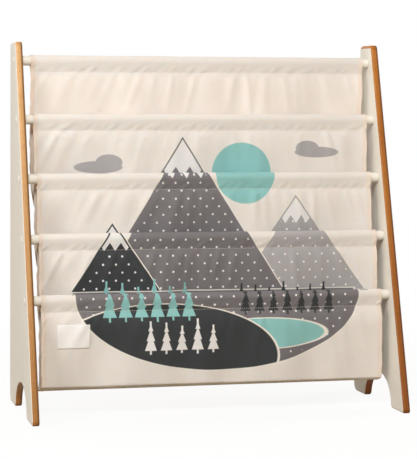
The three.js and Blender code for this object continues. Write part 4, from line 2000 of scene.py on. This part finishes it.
@dataclass(frozen=True)
class Needle:
    """Sews lines of stitches: one stitch is modelled by hand and stamped along each line."""

    pitch: float = 0.0034
    length: float = 0.0025
    radius: float = 0.00024
    arch: float = 0.00014
    raised: float = 0.4

    def model(self) -> tuple[Array, list[tuple[int, ...]]]:
        """Models one stitch along X, arched up along Z.

        Returns:
            Its points and its faces.
        """
        stitch = Bench.round_bar("stitch", self.radius, (-self.length / 2, self.length / 2), (0.0, 0.0), 6)
        Bench.edit(stitch)
        for share in (-0.3, 0.0, 0.3):
            bpy.ops.mesh.select_all(action="SELECT")
            bpy.ops.mesh.bisect(plane_co=(share * self.length, 0, 0), plane_no=(1, 0, 0))
        tip = self.length * 0.4
        Bench.pick(stitch, Pick.VERT, lambda v: abs(v.co.x) > tip)
        bpy.ops.transform.resize(value=(1, 0.55, 0.55), center_override=(0, 0, 0))
        bpy.ops.transform.translate(value=(0, 0, -2 * self.arch))
        Bench.pick(stitch, Pick.VERT, lambda v: abs(v.co.x) < self.length * 0.1)
        bpy.ops.transform.translate(value=(0, 0, self.arch))
        bpy.ops.object.mode_set(mode="OBJECT")
        points = np.array([v.co for v in stitch.data.vertices])
        faces = [tuple(p.vertices) for p in stitch.data.polygons]
        bpy.data.objects.remove(stitch)
        return points, faces

    def places(self, line: Array, out: Array) -> list[Array]:
        """Spaces stitches evenly along a line on the cloth.

        Args:
            line: points of the line.
            out: the way out of the cloth at each point.

        Returns:
            For each stitch its middle, its way along and its way out, as rows of a table.
        """
        steps = np.linalg.norm(np.diff(line, axis=0), axis=1)
        run = np.concatenate([[0.0], np.cumsum(steps)])
        count = int(run[-1] // self.pitch)
        middles = (np.arange(count) + 0.5) * self.pitch

        def at(values: Array, where: Array) -> Array:
            """Reads values along the line."""
            return np.stack([np.interp(where, run, values[:, k]) for k in range(3)], -1)

        here, outward = at(line, middles), at(out, middles)
        ahead = at(line, middles + self.length / 2) - at(line, middles - self.length / 2)
        ahead /= np.linalg.norm(ahead, axis=1)[:, None]
        outward -= (outward * ahead).sum(1)[:, None] * ahead
        outward /= np.linalg.norm(outward, axis=1)[:, None]
        return [np.stack(rows) for rows in zip(here, ahead, outward)]

    def sew(self, name: str, lines: Sequence[tuple[Array, Array]]) -> Piece:
        """Stamps stitches along several lines as one piece.

        Args:
            name: the piece's name.
            lines: for each line its points and its ways out.

        Returns:
            The stitches.
        """
        pattern, pattern_faces = self.model()
        points, faces = [], []
        for line, out in lines:
            for middle, ahead, outward in self.places(line, out):
                first = len(points) * len(pattern)
                aside = np.cross(outward, ahead)
                turned = pattern[:, :1] * ahead + pattern[:, 1:2] * aside + pattern[:, 2:] * outward
                points.append(turned + middle + outward * self.radius * self.raised)
                faces += [tuple(first + corner for corner in face) for face in pattern_faces]
        return sewn_mesh(name, np.concatenate(points), faces, THREAD.material())


@dataclass
class FabricSlings:
    """The four nested slings with their hems, seams and stitches."""

    sizes: ShelfSizes
    side_gap: float = 0.012
    cloth: float = 0.0008
    hem_fold: float = 0.007
    hem_rise: float = 0.0006
    hem_shares: tuple[float, ...] = (
        0.0, 0.05, 0.12, 0.30, 0.50, 0.66, 0.74, 0.80, 0.86, 0.94, 1.0, 1.08, 1.25)
    hem_heights: tuple[float, ...] = (
        0.35, 0.75, 0.95, 1.0, 1.0, 0.95, 0.45, 0.30, 0.55, 0.9, 0.6, 0.0, 0.0)
    column_pitch: float = 0.0038
    hem_stitch_share: float = 0.80
    upper_draw_in: DrawIn = DrawIn(0.0045, 0.0045, 0.036)
    lowest_draw_in: DrawIn = DrawIn(0.0, 0.004)

    @property
    def half_width(self) -> float:
        """Half the width of the cloth between its hems."""
        return self.sizes.inner_half_width - self.side_gap

    def path(self) -> SlingPath:
        """Gives the side view that the slings follow."""
        return SlingPath(self.sizes)

    def drape(self) -> Drape:
        """Gives the folds that all the layers share."""
        return Drape(self.half_width, self.path().seam_drop)

    def weft(self) -> Weft:
        """Sets out columns that are close at both hems and even between.

        Returns:
            The columns.
        """
        inner = self.half_width - self.hem_shares[-1] * self.hem_fold
        count = round(2 * inner / self.column_pitch)
        middle = np.linspace(-inner, inner, count + 1)[1:-1]
        left = np.array([-self.half_width + share * self.hem_fold for share in self.hem_shares])
        x = np.concatenate([left, middle, -left[::-1]])
        rise = np.concatenate([self.hem_heights, np.zeros(len(middle)), self.hem_heights[::-1]])
        return Weft(x, self.cloth + self.hem_rise * rise, np.clip(2 * rise, 0, 1))

    def sewn_lines(self, sheet: Sheet) -> list[tuple[Array, Array]]:
        """Finds the seams and hem lines on the printed side of a sling.

        Args:
            sheet: the sling.

        Returns:
            For each line its points and its ways out.
        """
        seam_drop = self.path().seam_drop
        lines = []
        for face, surface, other in ((1, 0, 1), (-1, 1, 0)):
            shown = [i for i, row in enumerate(sheet.rows) if row.face == face]
            if not shown:
                continue
            front, back = sheet.surfaces[surface], sheet.surfaces[other]
            seam = min(shown, key=lambda i: (sheet.rows[i].under > 0, abs(sheet.rows[i].drop - seam_drop)))
            trim = slice(2, -2)
            lines.append((front[seam, trim], front[seam, trim] - back[seam, trim]))
            inset = self.hem_stitch_share * self.hem_fold
            for edge in (-self.half_width + inset, self.half_width - inset):
                column = int(np.abs(sheet.weft.x - edge).argmin())
                hung = [i for i in shown if sheet.rows[i].drop >= seam_drop]
                lines.append((front[hung, column], front[hung, column] - back[hung, column]))
        return lines

    def build(self) -> list[Piece]:
        """Builds the slings from the top down.

        Returns:
            The slings and their stitches.
        """
        made = []
        weft = self.weft()
        lowest = self.sizes.rod_count - 1
        for number in range(1, lowest + 1):
            draw_in = self.lowest_draw_in if number == lowest else self.upper_draw_in
            rows = self.path().rows(number - 1)
            sheet = Sheet(f"canvas_sling_{number}", rows, weft, self.drape(), draw_in=draw_in)
            piece = put_on_shelf(sheet.build(CANVAS.material()), Slot.CANVAS, f"fabric_sling_{number}")
            stitches = Needle().sew(f"sling_stitches_{number}", self.sewn_lines(sheet))
            put_on_shelf(stitches, Slot.CANVAS)
            made += [piece, stitches]
        return made


@dataclass
class BareLabel:
    """The small white label sewn on the lowest sling, left bare."""

    sizes: ShelfSizes
    slings: FabricSlings
    width: float = 0.053
    height: float = 0.038
    from_hem: float = 0.0257
    drop: float = 0.038
    thickness: float = 0.0005
    gap: float = 0.00012
    fold: float = 0.0035
    fold_rise: float = 0.0003
    row_count: int = 20
    stitch_inset: float = 0.0018
    stitch_column: int = 3
    needle: Needle = Needle(pitch=0.0026, length=0.0018, radius=0.00018)

    def build(self) -> list[Piece]:
        """Builds the label on the front of the lowest sling, with its stitched border.

        Returns:
            The label and its stitches.
        """
        path, drape = self.slings.path(), self.slings.drape()
        rod = self.sizes.rod_count - 1
        rows = []
        for i in range(self.row_count + 1):
            drop = self.drop + self.height * i / self.row_count
            ahead = path.hang_at(drop, path.lowest_hang_setback)
            rows.append(path.row(rod, ahead, drop, path.fullness(drop), 1))
        left = -self.slings.half_width + self.from_hem
        shares = np.array([0, 0.02, 0.05, 0.10, 0.2, 0.3, 0.4, 0.5, 0.6, 0.7, 0.8, 0.9, 0.95, 0.98, 1])
        edge = np.minimum(shares, 1 - shares) * self.width
        raised = self.fold_rise * np.clip((self.fold - edge) / self.fold, 0, 1)
        weft = Weft(left + shares * self.width, self.thickness + raised, np.zeros(len(shares)))
        lift = (self.slings.cloth + self.thickness) / 2 + self.gap
        sheet = Sheet("bare_label", rows, weft, drape, lift)
        piece = put_on_shelf(sheet.build(LABEL_CLOTH.material()), Slot.LABEL, "blank_label")
        stitches = self.needle.sew("label_stitches", self.border(sheet))
        put_on_shelf(stitches, Slot.LABEL)
        return [piece, stitches]

    def border(self, sheet: Sheet) -> list[tuple[Array, Array]]:
        """Finds the four lines along which the label is sewn.

        Args:
            sheet: the label.

        Returns:
            For each line its points and its ways out.
        """
        front, back = sheet.surfaces
        row, column = max(round(self.stitch_inset / self.height * self.row_count), 1), self.stitch_column
        inner_rows, inner_columns = slice(row, -row), slice(column, -column)
        sides = (
            (row, inner_columns), (-1 - row, inner_columns), (inner_rows, column), (inner_rows, -1 - column))
        return [(front[side], front[side] - back[side]) for side in sides]


@dataclass(frozen=True)
class Lamp:
    """A square softbox that faces the shelf.

    Attributes:
        name: the lamp's name.
        azimuth: how far it stands to the left of the front, in degrees.
        elevation: how high it stands, in degrees.
        distance: how far off it stands.
        size: its width.
        power: its power in watts.
        colour: its colour.
    """

    name: str
    azimuth: float
    elevation: float
    distance: float
    size: float
    power: float
    colour: Colour

    def hang(self, aim: Triple) -> None:
        """Hangs the lamp in its place.

        Args:
            aim: the point that it faces.
        """
        data = bpy.data.lights.new(self.name, "AREA")
        data.shape = "SQUARE"
        data.size, data.energy, data.color = self.size, self.power, self.colour
        turn, rise = math.radians(self.azimuth), math.radians(self.elevation)
        away = Vector((-math.sin(turn) * math.cos(rise), -math.cos(turn) * math.cos(rise), math.sin(rise)))
        lamp = put_in_scene(self.name, data)
        lamp.location = Vector(aim) + away * self.distance
        lamp.rotation_mode = "QUATERNION"
        lamp.rotation_quaternion = away.to_track_quat("Z", "Y")


@dataclass
class Studio:
    """The pale floor, the lamps and the camera of the product picture."""

    camera_place: Triple = (-0.72375, -3.07891, 0.51113)
    yaw: float = 0.2315
    pitch: float = 0.0685
    roll: float = 0.0042
    lens: float = 151.2
    aim: Triple = (0.0, 0.0, 0.30)
    key: Lamp = Lamp("key_softbox", 20.0, 38.0, 2.7, 0.6, 44.0, (0.965, 0.985, 1.0))
    side: Lamp = Lamp("left_softbox", 57.0, 15.0, 3.0, 1.0, 29.0, (0.99, 0.99, 0.98))
    fill: Lamp = Lamp("front_fill", -38.0, 10.0, 3.0, 1.5, 7.0, (1.0, 0.95, 0.88))
    rear: Lamp = Lamp("rear_softbox", 150.0, 28.0, 3.2, 1.8, 23.0, (0.90, 0.96, 1.0))
    right: Lamp = Lamp("right_rear_softbox", -106.0, 22.0, 3.0, 1.6, 44.0, (1.0, 0.98, 0.95))
    world_colour: Colour = (1.0, 0.68, 0.42)
    world_strength: float = 0.25
    floor_size: float = 30.0
    floor_shade: Colour = (0.30, 0.24, 0.16)
    shadow_share: float = 0.12
    shadow_reach: float = 1.4

    def camera(self) -> None:
        """Sets the camera where the photograph was taken from."""
        data = bpy.data.cameras.new("product_camera")
        data.lens = self.lens
        data.sensor_width = 36.0
        data.sensor_fit = "AUTO"
        data.clip_end = 100.0
        camera = put_in_scene("product_camera", data)
        ahead = Vector((
            math.sin(self.yaw) * math.cos(self.pitch), math.cos(self.yaw) * math.cos(self.pitch),
            -math.sin(self.pitch)))
        right = Vector((math.cos(self.yaw), -math.sin(self.yaw), 0.0))
        up = right.cross(ahead)
        across = math.cos(self.roll) * right + math.sin(self.roll) * up
        upward = math.cos(self.roll) * up - math.sin(self.roll) * right
        turn = Matrix((across, upward, -ahead)).transposed().to_4x4()
        camera.matrix_world = Matrix.Translation(self.camera_place) @ turn
        bpy.context.scene.camera = camera

    @staticmethod
    def seen_directly(graph: Graph) -> Socket:
        """Marks the rays that show the background: the camera's, and those in gloss and glass.

        Args:
            graph: the graph of the floor or the world.

        Returns:
            1 for such a ray, 0 for others.
        """
        path = graph.add("ShaderNodeLightPath").outputs
        shown = graph.most(path["Is Camera Ray"], path["Is Glossy Ray"])
        return graph.most(shown, path["Is Transmission Ray"])

    def world(self) -> None:
        """Lights the shelf softly all round and shows plain white behind it."""
        world = bpy.data.worlds.new("white_studio")
        world.use_nodes = True
        bpy.context.scene.world = world
        graph = Graph(world.node_tree)
        background = next(n for n in world.node_tree.nodes if n.type == "BACKGROUND")
        shown = self.seen_directly(graph)
        graph.fill(
            background, Color=graph.mix(shown, self.world_colour, (1.0, 1.0, 1.0)),
            Strength=graph.sloped(shown, 1.0 - self.world_strength, self.world_strength))

    def floor(self) -> None:
        """Lays a pale floor that looks white and keeps a faint shadow."""
        floor = Bench.start("studio_floor", lambda: bpy.ops.mesh.primitive_plane_add(size=self.floor_size))
        material = bpy.data.materials.new("white_floor")
        material.use_nodes = True
        graph = Graph(material.node_tree)
        output = next(n for n in material.node_tree.nodes if n.type == "OUTPUT_MATERIAL")
        tone = graph.varied(graph.noise(graph.object_place(), 3.0), 0.04)
        shown = self.seen_directly(graph)
        shade = graph.mix(shown, self.floor_shade, (0.95, 0.95, 0.95))
        graph.fill(graph.shader, Base_Color=graph.tinted(shade, tone), Roughness=0.9)
        glow = graph.add("ShaderNodeEmission")
        away = graph.add("ShaderNodeVectorMath", operation="LENGTH")
        graph.feed(away.inputs[0], graph.object_place())
        near = graph.math("MULTIPLY_ADD", away.outputs["Value"], -1.0 / self.shadow_reach, 1.0, clamp=True)
        share = graph.times(shown, graph.sloped(near, -self.shadow_share, 1.0))
        blend = graph.add("ShaderNodeMixShader")
        for socket, source in zip(blend.inputs, (share, graph.shader.outputs[0], glow.outputs[0])):
            graph.feed(socket, source)
        graph.fill(output, Surface=blend.outputs[0])
        floor.data.materials.append(material)

    def build(self) -> None:
        """Sets up the whole studio."""
        self.camera()
        self.floor()
        self.world()
        for lamp in (self.key, self.side, self.fill, self.rear, self.right):
            lamp.hang(self.aim)
        bpy.context.scene.view_settings.view_transform = "Standard"


def main() -> None:
    """Builds the shelf's looks in order: studio, boards, rods, caps, fasteners, slings and label."""
    logging.basicConfig(level=logging.INFO, format="%(name)s: %(message)s")
    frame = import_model()
    sizes = ShelfSizes()
    slings = FabricSlings(sizes)
    Studio().build()
    for assembly in (
            SidePanels(sizes), CrossRods(sizes), CoverCaps(sizes), Fasteners(frame["nodes"]),
            slings, BareLabel(sizes, slings)):
        for piece in assembly.build():
            finishes = ", ".join(material.name for material in piece.data.materials)
            log.info("%s: %d faces in %s", piece.name, len(piece.data.polygons), finishes)


if __name__ == "__main__":
    main()
